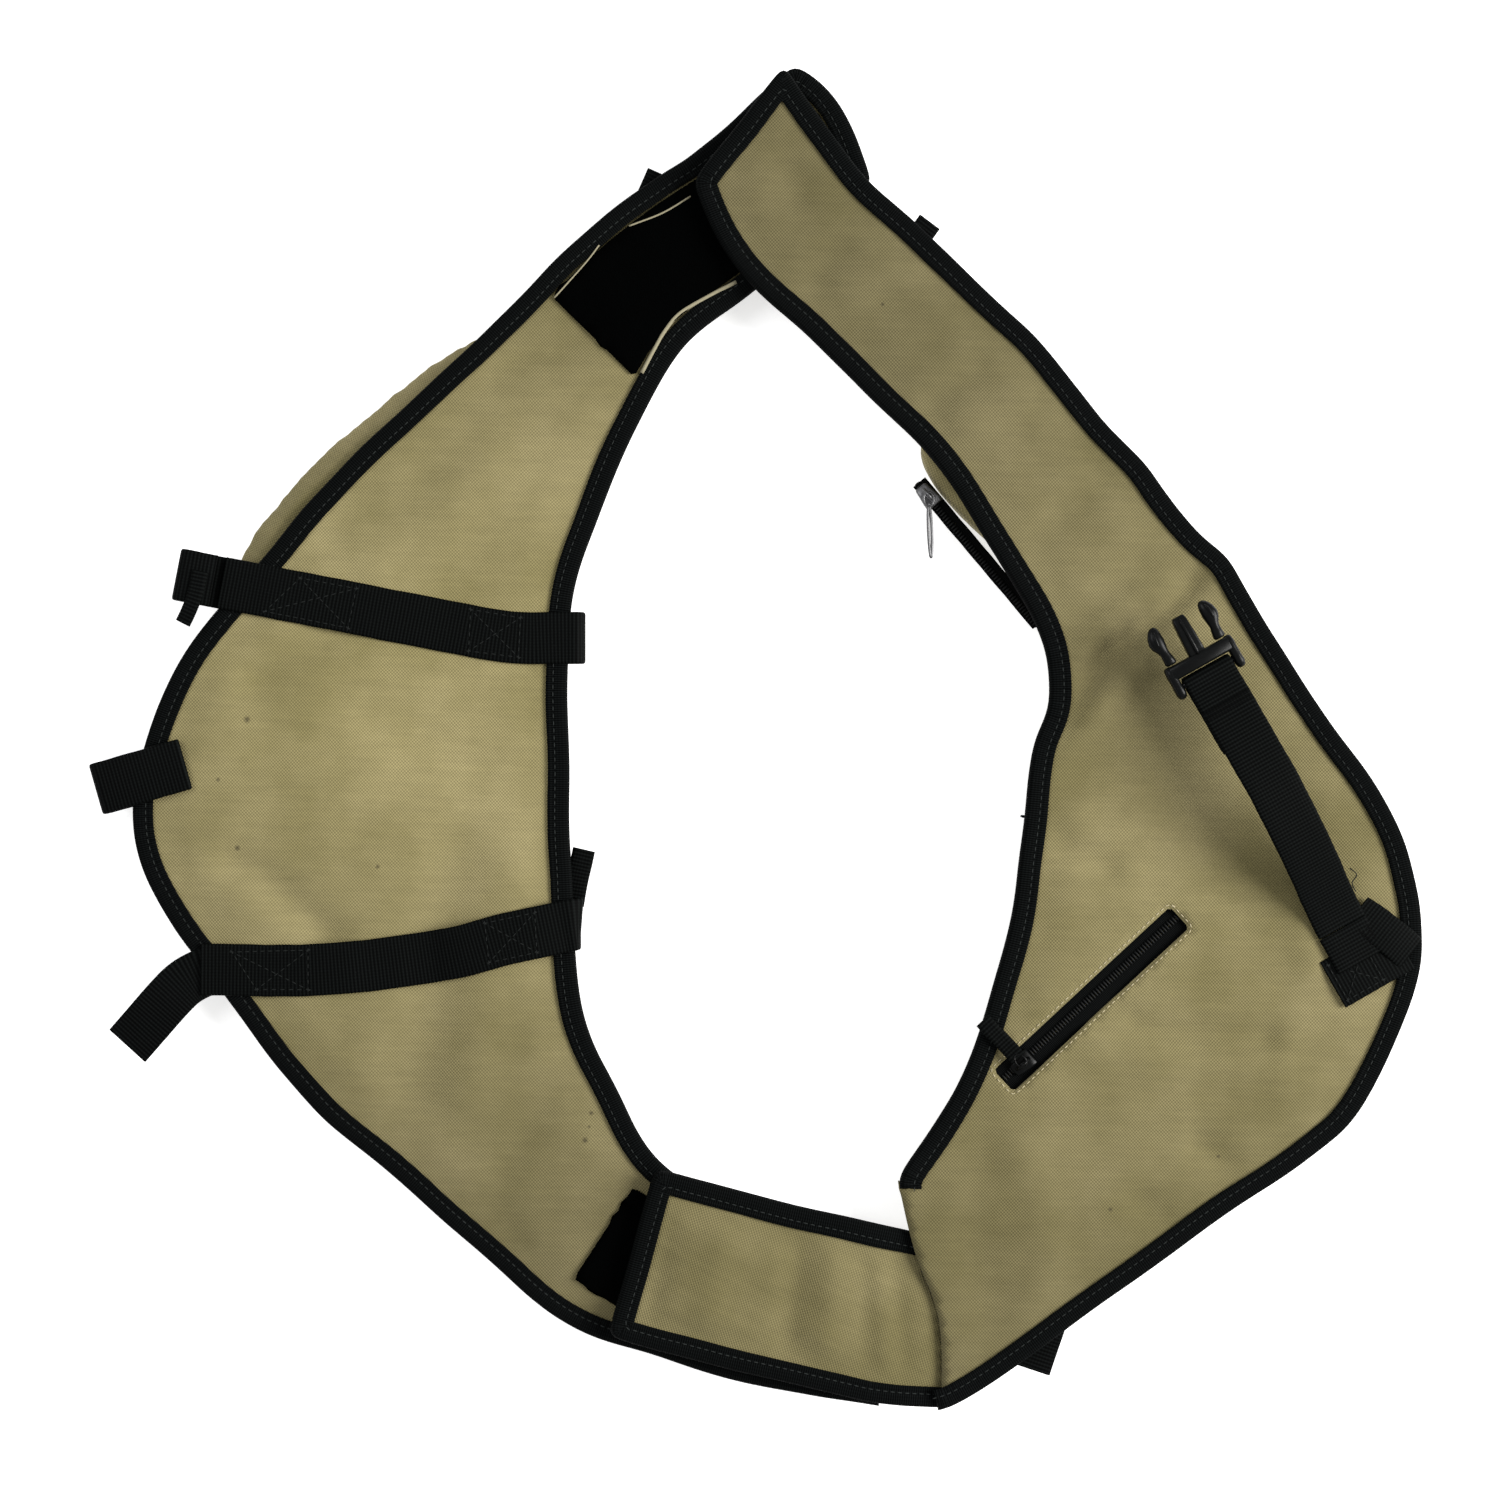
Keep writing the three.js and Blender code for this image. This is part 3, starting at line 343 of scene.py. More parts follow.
def applied(piece):
    """Turns the piece's modifiers into plain mesh."""
    graph = bpy.context.evaluated_depsgraph_get()
    mesh = bpy.data.meshes.new_from_object(piece.evaluated_get(graph), depsgraph=graph)
    piece.modifiers.clear()
    old = piece.data
    piece.data = mesh
    bpy.data.meshes.remove(old)
    return piece


def thickened(piece, thickness, offset=-1.0):
    """Gives a sheet its thickness: -1 adds it behind the faces, 1 in front."""
    wall = piece.modifiers.new("wall", "SOLIDIFY")
    wall.thickness = thickness * MM
    wall.offset = offset
    return applied(piece)


def smooth_step(value):
    t = np.clip(value, 0.0, 1.0)
    return t * t * (3 - 2 * t)


def lengths_along(path):
    return np.concatenate([[0.0], np.cumsum(np.linalg.norm(np.diff(path, axis=0), axis=1))])


def resampled(path, step):
    """Points at an even step along a path, its two ends kept."""
    along = lengths_along(path)
    count = max(2, int(round(along[-1] / step)) + 1)
    wanted = np.linspace(0, along[-1], count)
    return np.stack([np.interp(wanted, along, path[:, k]) for k in range(path.shape[1])], axis=1)


def rounded(path, step):
    """A smooth curve through the points, a step apart, in any number of dimensions."""
    path = np.asarray(path, float)
    if len(path) < 3:
        return resampled(path, step)
    ends = np.vstack([2 * path[0] - path[1], path, 2 * path[-1] - path[-2]])
    t = np.linspace(0, 1, 12, endpoint=False)[:, None]
    spans = []
    for a, b, c, d in zip(ends[:-3], ends[1:-2], ends[2:-1], ends[3:]):
        spans.append(0.5 * (2 * b + (c - a) * t + (2 * a - 5 * b + 4 * c - d) * t**2
                            + (3 * b - a - 3 * c + d) * t**3))
    return resampled(np.vstack(spans + [path[-1:]]), step)


BATCH = 2000   # points measured at once


def nearest(points, path):
    """For each point: distance to the path, place along it, and the side (+1 on its left)."""
    a, b = path[:-1], path[1:]
    span = b - a
    squared = np.maximum((span**2).sum(1), 1e-12)
    along = lengths_along(path)
    distance = np.empty(len(points))
    place = np.empty(len(points))
    side = np.empty(len(points))
    for start in range(0, len(points), BATCH):
        batch = slice(start, start + BATCH)
        p = points[batch, None, :] - a[None]
        t = np.clip((p * span).sum(2) / squared, 0, 1)
        gap = p - t[..., None] * span
        d = np.hypot(gap[..., 0], gap[..., 1])
        best = d.argmin(1)
        row = np.arange(len(best))
        distance[batch] = d[row, best]
        place[batch] = along[best] + t[row, best] * np.sqrt(squared[best])
        q = p[row, best]
        side[batch] = np.sign(span[best, 0] * q[:, 1] - span[best, 1] * q[:, 0])
    return distance, place, side


def within(points, loop):
    """True where a point is inside a closed loop."""
    inside = np.zeros(len(points), bool)
    for (x0, y0), (x1, y1) in zip(loop, np.roll(loop, -1, axis=0)):
        if y0 == y1:
            continue
        crosses = (y0 > points[:, 1]) != (y1 > points[:, 1])
        inside ^= crosses & (points[:, 0] < (x1 - x0) * (points[:, 1] - y0) / (y1 - y0) + x0)
    return inside


def closed(loop):
    return np.vstack([loop, loop[:1]])


def left_normals(path):
    direction = np.gradient(path, axis=0)
    direction /= np.maximum(np.linalg.norm(direction, axis=1), 1e-9)[:, None]
    return np.stack([-direction[:, 1], direction[:, 0]], axis=1)


def filled(loops, extra):
    """Triangles over the first loop less the others, through the extra points that lie inside."""
    corners, edges = [], []
    for loop in loops:
        first = len(corners)
        corners.extend(loop)
        edges.extend((first + i, first + (i + 1) % len(loop)) for i in range(len(loop)))
    everything = np.vstack([np.array(corners), extra]) if len(extra) else np.array(corners)
    made = delaunay_2d_cdt([Vector(p) for p in everything], edges, [], 0, 1e-4)
    points = np.array([(p.x, p.y) for p in made[0]])
    faces = np.array([f for f in made[2] if len(f) == 3])
    centres = points[faces].mean(1)
    keep = within(centres, loops[0])
    for hole in loops[1:]:
        keep &= ~within(centres, hole)
    a, b, c = (points[faces[:, k]] for k in range(3))
    turn = (b[:, 0] - a[:, 0]) * (c[:, 1] - a[:, 1]) - (b[:, 1] - a[:, 1]) * (c[:, 0] - a[:, 0])
    keep &= np.abs(turn) > 1e-6
    faces[turn < 0] = faces[turn < 0][:, ::-1]
    return points, faces[keep]


def grid_inside(loops, spacing):
    """Staggered points inside the first loop and outside the others, clear of every edge."""
    low, high = loops[0].min(0), loops[0].max(0)
    rows = np.arange(low[1], high[1], spacing * 0.866)
    columns = np.arange(low[0], high[0], spacing)
    points = np.array([(x + (i % 2) * spacing / 2, y) for i, y in enumerate(rows) for x in columns])
    keep = within(points, loops[0])
    for hole in loops[1:]:
        keep &= ~within(points, hole)
    points = points[keep]
    for loop in loops:
        points = points[nearest(points, closed(loop))[0] > spacing * 0.6]
    return points


# ---- outlines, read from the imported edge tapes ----
def lowest_loops(node):
    """The outlines of a node's flat underside, in millimetres, each anticlockwise."""
    mesh = nodes[node].data
    corners = np.array([v.co for v in mesh.vertices]) / MM
    floor = corners[:, 2].min() + 0.01
    keys = {}
    number = [keys.setdefault((round(x, 3), round(y, 3)), len(keys)) for x, y, _ in corners]
    flat = np.array(list(keys))
    half_edges = {}
    for face in mesh.polygons:
        if all(corners[v][2] < floor for v in face.vertices):
            ring = [number[v] for v in face.vertices]
            for a, b in zip(ring, ring[1:] + ring[:1]):
                if half_edges.pop((b, a), None) is None:
                    half_edges[(a, b)] = b
    follow = {a: b for a, b in half_edges}
    loops = []
    while follow:
        start, here = next(iter(follow.items()))
        ring = [start]
        del follow[start]
        while here != start:
            ring.append(here)
            here = follow.pop(here)
        loop = flat[ring]
        x, y = loop[:, 0], loop[:, 1]
        if (x * np.roll(y, -1) - y * np.roll(x, -1)).sum() < 0:
            loop = loop[::-1]
        loops.append(loop)
    return sorted(loops, key=lambda ring: -np.ptp(ring, axis=0).prod())


def taped_path(tape_node, lining_node):
    """The outer edge of an edge tape, anticlockwise round its panel, from one open end to the other."""
    loop = lowest_loops(tape_node)[0]
    cloth = lowest_loops(lining_node)[0]
    outside = ~within(loop, cloth)
    if outside.all():
        return loop, True
    start = next(i for i in range(len(loop)) if outside[i] and not outside[i - 1])
    order = np.roll(np.arange(len(loop)), -start)
    path = loop[order][outside[order]]
    return path, False


def uncapped(path):
    """The path without the corners where its tape is cut off square."""
    for _ in range(2):
        spans = np.diff(path, axis=0)
        heading = np.arctan2(spans[:2, 1], spans[:2, 0])
        if abs((heading[1] - heading[0] + math.pi) % (2 * math.pi) - math.pi) > 0.9:
            path = path[1:]
        path = path[::-1]
    return path


def softened(path, is_closed, seed):
    """The edge with its straight chords rounded, its corners kept and a hand-sewn waver added."""
    if is_closed:
        turns = np.roll(path, -1, 0) - path
        heading = np.arctan2(turns[:, 1], turns[:, 0])
        turn = np.abs((heading - np.roll(heading, 1) + math.pi) % (2 * math.pi) - math.pi)
        path = np.roll(path, -int(turn.argmax()), 0)
        path = closed(path)
    span = np.diff(path, axis=0)
    heading = np.arctan2(span[:, 1], span[:, 0])
    turn = np.abs((np.diff(heading) + math.pi) % (2 * math.pi) - math.pi)
    cuts = [0] + [i + 1 for i in np.nonzero(turn > CORNER_TURN)[0]] + [len(path) - 1]
    runs = [rounded(path[a:b + 1], EDGE_STEP) for a, b in zip(cuts, cuts[1:]) if b > a]
    for run in runs:
        waver = np.array([noise.noise(Vector((p[0] * 0.03, p[1] * 0.03, seed))) for p in run])
        ends = np.minimum(lengths_along(run), lengths_along(run)[-1] - lengths_along(run))
        waver *= np.minimum(1.0, ends / 25.0)
        run += left_normals(run) * (0.9 * waver)[:, None]
    joined = np.vstack([run[:-1] for run in runs] + [runs[-1][-1:]])
    for _ in range(4):
        joined[1:-1] = (joined[:-2] + 2 * joined[1:-1] + joined[2:]) / 4
    return joined


def moved_in(path, distance, slack=0.12):
    """The path moved to its left, with what would cross itself at a corner left out."""
    distance = np.broadcast_to(distance, len(path))
    points, wanted = [], []
    spans = np.diff(path, axis=0)
    lengths = np.linalg.norm(spans, axis=1)
    normals = np.stack([-spans[:, 1], spans[:, 0]], axis=1) / lengths[:, None]
    for i, normal in enumerate(normals):
        for share in (0.0, 0.5):
            d = distance[i] + (distance[i + 1] - distance[i]) * share
            points.append(path[i] + spans[i] * share + normal * d)
            wanted.append(d)
    points.append(path[-1] + normals[-1] * distance[-1])
    wanted.append(distance[-1])
    points, wanted = np.array(points), np.array(wanted)
    gap, _, side = nearest(points, path)
    return points[(gap > wanted - slack) & (side > -0.5)]


class Panel:
    """A padded panel: its taped edge, the height of its middle and the folds in its cloth."""

    def __init__(self, middle, edge, is_closed, folds=(), extra=None):
        self.middle = middle
        self.edge = edge
        self.is_closed = is_closed
        self.folds = [(rounded(places(*points), 6.0), depth, width) for points, depth, width in folds]
        self.extra = extra

    def folded(self, points, inset):
        lift = np.zeros(len(points))
        for path, depth, width in self.folds:
            gap = nearest(points, path)[0]
            lift += FOLD_STRENGTH * depth * np.exp(-((gap / width) ** 2))
        ripple = np.array([
            1.15 * noise.noise(Vector((x * 0.016, y * 0.016, 3.1)))
            + 0.5 * noise.noise(Vector((x * 0.045, y * 0.045, 7.7))) for x, y in points])
        return (lift + ripple) * smooth_step((inset - 8.0) / 16.0)

    def pad(self, inset):
        return EDGE_PAD + MIDDLE_PAD * smooth_step((inset - 9.0) / 20.0)

    def tuck(self, inset):
        """How far the cloth dips into the tape."""
        return 0.9 * smooth_step((4.0 - inset) / 4.0)

    def warp(self, points):
        return self.extra(points) if self.extra else 0.0

    def lining(self, points):
        inset = nearest(points, self.edge)[0]
        folded = self.folded(points, inset)
        return self.middle + self.pad(inset) - self.tuck(inset) + folded + self.warp(points)

    def shell(self, points):
        inset = nearest(points, self.edge)[0]
        followed = SHELL_FOLLOWS * self.folded(points, inset)
        return self.middle - self.pad(inset) + self.tuck(inset) + followed + self.warp(points)

    def tape(self, points, inset):
        """How far the tape's outside stands from the middle."""
        seam = 0.35 * np.exp(-(((inset - 7.6) / 1.1) ** 2))
        bend = TAPE_EDGE_RADIUS - np.minimum(inset, TAPE_EDGE_RADIUS)
        round_edge = np.sqrt(np.clip(1 - (bend / TAPE_EDGE_RADIUS) ** 2, 0, 1))
        pucker = np.array([0.22 * noise.noise(Vector((x * 0.14, y * 0.14, 1.7))) for x, y in points])
        return (TAPE_HALF_HEIGHT + pucker * np.minimum(1, inset / 3)) * round_edge - seam

    def top(self, points):
        inset = nearest(points, self.edge)[0]
        taped = self.middle + self.tape(points, inset) + self.warp(points)
        return np.where(inset < TAPE_WIDTH, np.maximum(taped, self.lining(points)), self.lining(points))


def layer(name, loops, height, material, thickness, up, spacing=GRID):
    """A cloth or foam layer of a panel, over the loops, at a height given for each point."""
    points, faces = filled(loops, grid_inside(loops, spacing))
    solid = np.column_stack([points, height(points)])
    sheet = piece_from(name, solid, faces if up else faces[:, ::-1], material, uv=points)
    return thickened(sheet, thickness)


def slab_between(name, loops, low, high, material, spacing=6.0):
    """A closed pad between two heights over the loops."""
    points, faces = filled(loops, grid_inside(loops, spacing))
    count = len(points)
    rims = {}
    for face in faces:
        for a, b in zip(face, np.roll(face, -1)):
            if rims.pop((b, a), None) is None:
                rims[(a, b)] = True
    walls = [(b, a, a + count, b + count) for a, b in rims]
    solid = np.vstack([np.column_stack([points, low(points)]), np.column_stack([points, high(points)])])
    skins = [tuple(f) for f in faces[:, ::-1]] + [tuple(f + count) for f in faces]
    return piece_from(name, solid, skins + walls, material, uv=np.vstack([points, points]))


def edge_tape(name, panel, seed):
    """Tape folded round a panel's edge: outer skin from the top's seam, round the edge, underneath."""
    path = panel.edge
    along = lengths_along(path)
    waver = np.array([0.45 * noise.noise(Vector((s * 0.03, seed, 0.4))) for s in along])
    if panel.is_closed:
        waver *= np.minimum(1.0, np.minimum(along, along[-1] - along) / 20.0)
    inner = moved_in(path, TAPE_WIDTH + waver)
    rows = [moved_in(path, d) for d in (0.5, 1.3, 2.6, 4.6, 6.4, 7.6, 8.8)]
    if panel.is_closed:
        loops = [path[:-1], inner[:-1]]
    else:
        loops = [np.vstack([path, inner[::-1]])]
    extra = np.vstack(rows)
    extra = extra[within(extra, loops[0])]
    rim = nearest(extra, closed(loops[0]))[0]
    if panel.is_closed:
        rim = np.minimum(rim, nearest(extra, closed(loops[1]))[0])
    extra = extra[rim > 0.3]
    points, faces = filled(loops, extra)
    inset = nearest(points, path)[0]
    rise = panel.tape(points, inset)
    warp = panel.warp(points)
    count = len(points)
    on_edge = inset < 1e-3
    upper = np.column_stack([points, panel.middle + rise + warp])
    lower = np.column_stack([points, panel.middle - rise + warp])
    faces_below = np.where(on_edge[faces], faces, faces + count)[:, ::-1]
    every = np.vstack([upper, lower])
    skins = np.vstack([faces, faces_below])
    tape = piece_from(name, every, skins, TAPE)
    # each face takes its flat place from the stretch of edge nearest its own middle
    layer_uv = tape.data.uv_layers.new(name="cloth")
    centres = every[skins].mean(1)[:, :2]
    a, span = path[:-1], np.diff(path, axis=0)
    length = np.linalg.norm(span, axis=1)
    flat = np.zeros((len(skins) * 3, 2), np.float32)
    _, place, _ = nearest(centres, path)
    index = np.clip(np.searchsorted(along, place, side="right") - 1, 0, len(span) - 1)
    for k in range(3):
        offset = every[skins[:, k]][:, :2] - a[index]
        unit = span[index] / length[index][:, None]
        flat[k::3, 0] = along[index] + (offset * unit).sum(1)
        flat[k::3, 1] = unit[:, 0] * offset[:, 1] - unit[:, 1] * offset[:, 0]
    layer_uv.data.foreach_set("uv", (flat * SPREAD_PER_MM).ravel())
    loose = bmesh.new()
    loose.from_mesh(tape.data)
    stray = [v for v in loose.verts if not v.link_faces]
    bmesh.ops.delete(loose, geom=stray, context="VERTS")
    loose.to_mesh(tape.data)
    loose.free()
    return thickened(tape, TAPE_THICKNESS)


# ---- what repeats along a line: stitches and zip teeth ----
def repeat_tree():
    """Beads of a given size, a pitch apart along a line, each turned to follow it."""
    tree = bpy.data.node_groups.new("beads_along_line", "GeometryNodeTree")
    sockets = tree.interface
    sockets.new_socket("Line", in_out="INPUT", socket_type="NodeSocketGeometry")
    for label in ("Pitch", "Length", "Width", "Height"):
        sockets.new_socket(label, in_out="INPUT", socket_type="NodeSocketFloat")
    sockets.new_socket("Finish", in_out="INPUT", socket_type="NodeSocketMaterial")
    sockets.new_socket("Beads", in_out="OUTPUT", socket_type="NodeSocketGeometry")
    new, link = tree.nodes.new, tree.links.new
    given, result = new("NodeGroupInput"), new("NodeGroupOutput")
    curve, even = new("GeometryNodeMeshToCurve"), new("GeometryNodeResampleCurve")
    even.mode = "LENGTH"
    tangent, turn = new("GeometryNodeInputTangent"), new("FunctionNodeAlignEulerToVector")
    turn.axis, turn.pivot_axis = "X", "Z"
    ball = new("GeometryNodeMeshUVSphere")
    ball.inputs["Segments"].default_value = 8
    ball.inputs["Rings"].default_value = 5
    ball.inputs["Radius"].default_value = 0.5
    size = new("ShaderNodeCombineXYZ")
    put, real = new("GeometryNodeInstanceOnPoints"), new("GeometryNodeRealizeInstances")
    round_off, finish = new("GeometryNodeSetShadeSmooth"), new("GeometryNodeSetMaterial")
    link(given.outputs["Line"], curve.inputs[0])
    link(curve.outputs[0], even.inputs["Curve"])
    link(given.outputs["Pitch"], even.inputs["Length"])
    link(tangent.outputs[0], turn.inputs["Vector"])
    for k, label in enumerate(("Length", "Width", "Height")):
        link(given.outputs[label], size.inputs[k])
    link(even.outputs[0], put.inputs["Points"])
    link(ball.outputs["Mesh"], put.inputs["Instance"])
    link(turn.outputs[0], put.inputs["Rotation"])
    link(size.outputs[0], put.inputs["Scale"])
    link(put.outputs[0], real.inputs[0])
    link(real.outputs[0], round_off.inputs[0])
    link(round_off.outputs[0], finish.inputs["Geometry"])
    link(given.outputs["Finish"], finish.inputs["Material"])
    link(finish.outputs[0], result.inputs[0])
    return tree


BEADS = repeat_tree()


def beads(name, lines, pitch, size, material, body=None):
    """Beads along one or more lines of points in millimetres."""
    points = np.vstack(lines) * MM
    edges, first = [], 0
    for line in lines:
        edges += [(first + i, first + i + 1) for i in range(len(line) - 1)]
        first += len(line)
    mesh = bpy.data.meshes.new(name)
    mesh.from_pydata(points.tolist(), edges, [])
    made = bpy.data.objects.new(name, mesh)
    bpy.context.scene.collection.objects.link(made)
    modifier = made.modifiers.new("beads", "NODES")
    modifier.node_group = BEADS
    named = {item.name: item.identifier for item in BEADS.interface.items_tree if item.in_out == "INPUT"}
    modifier[named["Pitch"]] = pitch * MM
    for label, value in zip(("Length", "Width", "Height"), size):
        modifier[named[label]] = value * MM
    modifier[named["Finish"]] = material
    applied(made)
    if body:
        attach(made, body)
    return made


def stitches(name, lines, body, material=DARK_THREAD, length=2.6, pitch=3.6):
    return beads(name, lines, pitch, (length, 0.55, 0.42), material, body)


# ---- webbing ----
def strip(name, route, width, body=None, material=WEBBING, thickness=WEBBING_THICKNESS, across=None,
          rib=0.2):
    """A webbing strip along a route of 3-D points, with real cross ribs and rounded selvedges."""
    path = resampled(np.asarray(route, float), RIB_PITCH / 4)
    tangent = np.gradient(path, axis=0)
    tangent /= np.linalg.norm(tangent, axis=1)[:, None]
    if across is None:
        level = np.linalg.norm(tangent[:, :2], axis=1)
        sideways = np.zeros_like(path)
        held = None
        for i, t in enumerate(tangent):
            if level[i] > 0.35 or held is None:
                new = np.array([-t[1], t[0], 0.0]) / max(level[i], 1e-6)
                held = new if held is None or new @ held >= 0 else -new
            sideways[i] = held
    else:
        sideways = np.tile(np.asarray(across, float), (len(path), 1))
    normal = np.cross(tangent, sideways)
    normal /= np.linalg.norm(normal, axis=1)[:, None]
    along = lengths_along(path)
    ribs = 1 + rib * np.cos(2 * math.pi * along / RIB_PITCH)
    half, deep = width / 2, thickness / 2
    section = [(-half, 0), (-half + 0.35, 0.72), (-half + 1.4, 1), (-half * 0.5, 1), (0, 1),
               (half * 0.5, 1), (half - 1.4, 1), (half - 0.35, 0.72), (half, 0),
               (half - 0.35, -0.72), (half - 1.4, -1), (0, -1), (-half + 1.4, -1), (-half + 0.35, -0.72)]
    waver = np.array([0.25 * noise.noise(Vector((s * 0.08, width, 2.2))) for s in along])
    rings, flat = [], []
    for offset, share in section:
        edge = offset + waver * abs(offset) / half
        rings.append(path + sideways * edge[:, None] + normal * (share * deep * ribs)[:, None])
        flat.append(np.column_stack([along, np.full(len(along), offset + (0 if share >= 0 else 3.0))]))
    count, length = len(section), len(path)
    points = np.stack(rings, axis=1).reshape(-1, 3)
    uv = np.stack(flat, axis=1).reshape(-1, 2)
    faces = []
    for i in range(length - 1):
        for k in range(count):
            n = (k + 1) % count
            faces.append((i * count + k, i * count + n, (i + 1) * count + n, (i + 1) * count + k))
    faces.append(tuple(range(count))[::-1])
    faces.append(tuple((length - 1) * count + k for k in range(count)))
    made = piece_from(name, points, faces, material, uv=uv)
    outward(made)
    if body:
        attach(made, body)
    return made


def outward(piece):
    """Turns every face of a closed shell outwards."""
    mesh = bmesh.new()
    mesh.from_mesh(piece.data)
    bmesh.ops.recalc_face_normals(mesh, faces=mesh.faces)
    mesh.to_mesh(piece.data)
    mesh.free()
    return piece


def laid_over(panel, points, gap=0.25, step=2.0):
    """A route over a panel: it rests on what it crosses, without sharp steps."""
    flat = rounded(points, step)
    side = left_normals(flat)
    heights = np.max([panel.top(flat + side * shift) for shift in (-11, -5, 0, 5, 11)], axis=0)
    reach = 4
    padded = np.pad(heights, reach, mode="edge")
    heights = np.max([padded[i:i + len(heights)] for i in range(2 * reach + 1)], axis=0)
    weights = np.exp(-np.linspace(-2, 2, 2 * reach + 1) ** 2)
    padded = np.pad(heights, reach, mode="edge")
    heights = sum(w * padded[i:i + len(heights)] for i, w in enumerate(weights)) / weights.sum()
    return np.column_stack([flat, heights + gap + WEBBING_THICKNESS / 2])


# ---- the three padded panels ----
FOLD_LINE = places((70, -209), (71, -219), (78, -248), (89, -279), (91, -323))
CREASE = places((140, 12), (226, 86))
fold_path = rounded(FOLD_LINE, 4.0)


def beyond_fold(points):
    """Distance from the fold between front panel and belt, positive on the belt's side."""
    gap, _, side = nearest(points, fold_path)
    return np.where(side < 0, gap, -gap)


def lip_over_belt(points):
    return 1.1 * np.exp(-((beyond_fold(points) / 16.0) ** 2))


def belt_under_front(points):
    return -2.5 * smooth_step(1.0 - beyond_fold(points) / 24.0)


def chained(*paths):
    return np.vstack([paths[0]] + [path[1:] for path in paths[1:]])


def middle_of(tape_node):
    low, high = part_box(tape_node)
    return (low.z + high.z) / 2 / MM


back_path, _ = taped_path("back_binding", "back_lining")
upper_path = chained(*(uncapped(taped_path(tape, lining)[0]) for tape, lining in (
    ("front_binding_outer", "front_lining"), ("strap_binding", "strap_lining"),
    ("front_binding_inner", "front_lining"))))
upper_path = np.vstack([upper_path[:1] + (-3.5, -0.4), upper_path, upper_path[-1:] + (-1.7, -3.6),
                        upper_path[-1:] + (-1.0, -8.4)])
belt_path = uncapped(taped_path("belt_binding", "belt_lining")[0])
belt_path = np.vstack([belt_path[:1] + (9.0, -2.2), belt_path, belt_path[-1:] + (4.0, 0.9)])

BACK_FOLDS = [
    (((-252, -62), (-232, -74), (-208, -97)), -1.9, 10),
    (((-246, -78), (-226, -94), (-204, -114)), 1.0, 10),
    (((-146, -60), (-156, -110), (-164, -168)), -1.5, 17),
    (((-120, -70), (-128, -120), (-140, -170)), 0.8, 16),
    (((-128, 176), (-104, 184), (-84, 200)), -1.3, 13),
    (((-240, 30), (-218, 42), (-196, 60)), -1.3, 12),
    (((-200, 20), (-150, -10), (-120, -16)), -0.7, 16),
    (((-182, 86), (-150, 104), (-130, 128)), 0.9, 16),
    (((-205, 100), (-170, 120), (-140, 152)), -0.9, 14),
    (((-100, -170), (-120, -205), (-125, -240)), -0.9, 12),
]
UPPER_FOLDS = [
    (((134, 6), (148, 20), (172, 40), (196, 60), (216, 80)), -2.7, 6),
    (((146, -2), (170, 18), (186, 32)), 2.0, 8),
    (((140, 30), (160, 48), (184, 70)), 0.7, 7),
    (((158, 58), (184, 80)), -0.8, 9),
    (((20, 262), (14, 276)), -1.0, 9),
    (((24, 212), (40, 232)), -1.0, 9),
    (((84, 160), (106, 176)), -1.3, 8),
    (((96, 146), (124, 160)), 0.8, 9),
    (((140, 98), (166, 122)), -0.9, 11),
    (((142, -50), (168, -63)), -1.3, 7),
    (((166, -134), (196, -142), (244, -144)), -1.5, 7),
    (((166, -152), (206, -158), (250, -160)), 0.8, 10),
    (((214, -196), (232, -210)), -1.2, 8),
    (((186, -224), (206, -236)), -1.2, 8),
    (((244, -40), (262, -80), (266, -110)), 1.0, 10),
    (((110, -190), (104, -230), (112, -280)), -0.8, 12),
    (((130, -200), (140, -240), (136, -280)), 0.7, 12),
    (((160, -20), (200, -40), (226, -64)), -0.8, 18),
]
BELT_FOLDS = [
    (((-44, -220), (-52, -276)), -1.2, 6),
    (((22, -234), (14, -300)), -1.2, 7),
    (((52, -240), (54, -306)), -0.9, 6),
    (((66, -244), (72, -310)), -1.1, 6),
    (((-14, -226), (-24, -290)), 0.8, 10),
    (((38, -238), (34, -302)), 0.8, 7),
]

back = Panel(middle_of("back_binding"), softened(back_path, True, 1.0), True, BACK_FOLDS)
upper = Panel(middle_of("strap_binding"), softened(upper_path, False, 2.0), False, UPPER_FOLDS, lip_over_belt)
belt = Panel(middle_of("belt_binding"), softened(belt_path, False, 3.0), False, BELT_FOLDS, belt_under_front)

SEAM_ALLOWANCE = 1.6
back_loop = moved_in(back.edge, SEAM_ALLOWANCE)[:-1]
belt_loop = moved_in(belt.edge, SEAM_ALLOWANCE)
belt_loop = belt_loop[beyond_fold(belt_loop) > 0.6]
belt_fold = fold_path[::-1] + (0.5, 0)
belt_loop = np.vstack([belt_loop, belt_fold[(belt_fold[:, 1] < belt_loop[0][1]) & (
    belt_fold[:, 1] > belt_loop[-1][1] + 1)]])
upper_loop = np.vstack([moved_in(upper.edge, SEAM_ALLOWANCE), rounded(FOLD_LINE + (-1.2, 0), 4.0)[1:-1]])

ZIP_ANGLE = math.radians(43)
ZIP_ALONG = np.array([math.cos(ZIP_ANGLE), math.sin(ZIP_ANGLE)])
ZIP_ACROSS = np.array([-math.sin(ZIP_ANGLE), math.cos(ZIP_ANGLE)])
ZIP_CENTRE = at(161, -126)
ZIP_WINDOW = (115.0, 13.7)


def oblong(centre, along, length, width, corner=1.6, steps=4):
    """A rectangle with rounded corners, anticlockwise."""
    across = np.array([-along[1], along[0]])
    loop = []
    for quarter, (i, j) in enumerate(((1, 1), (-1, 1), (-1, -1), (1, -1))):
        middle = centre + along * i * (length / 2 - corner) + across * j * (width / 2 - corner)
        for k in range(steps + 1):
            angle = (quarter + k / steps) * math.pi / 2
            loop.append(middle + corner * (math.cos(angle) * along + math.sin(angle) * across))
    return np.array(loop)


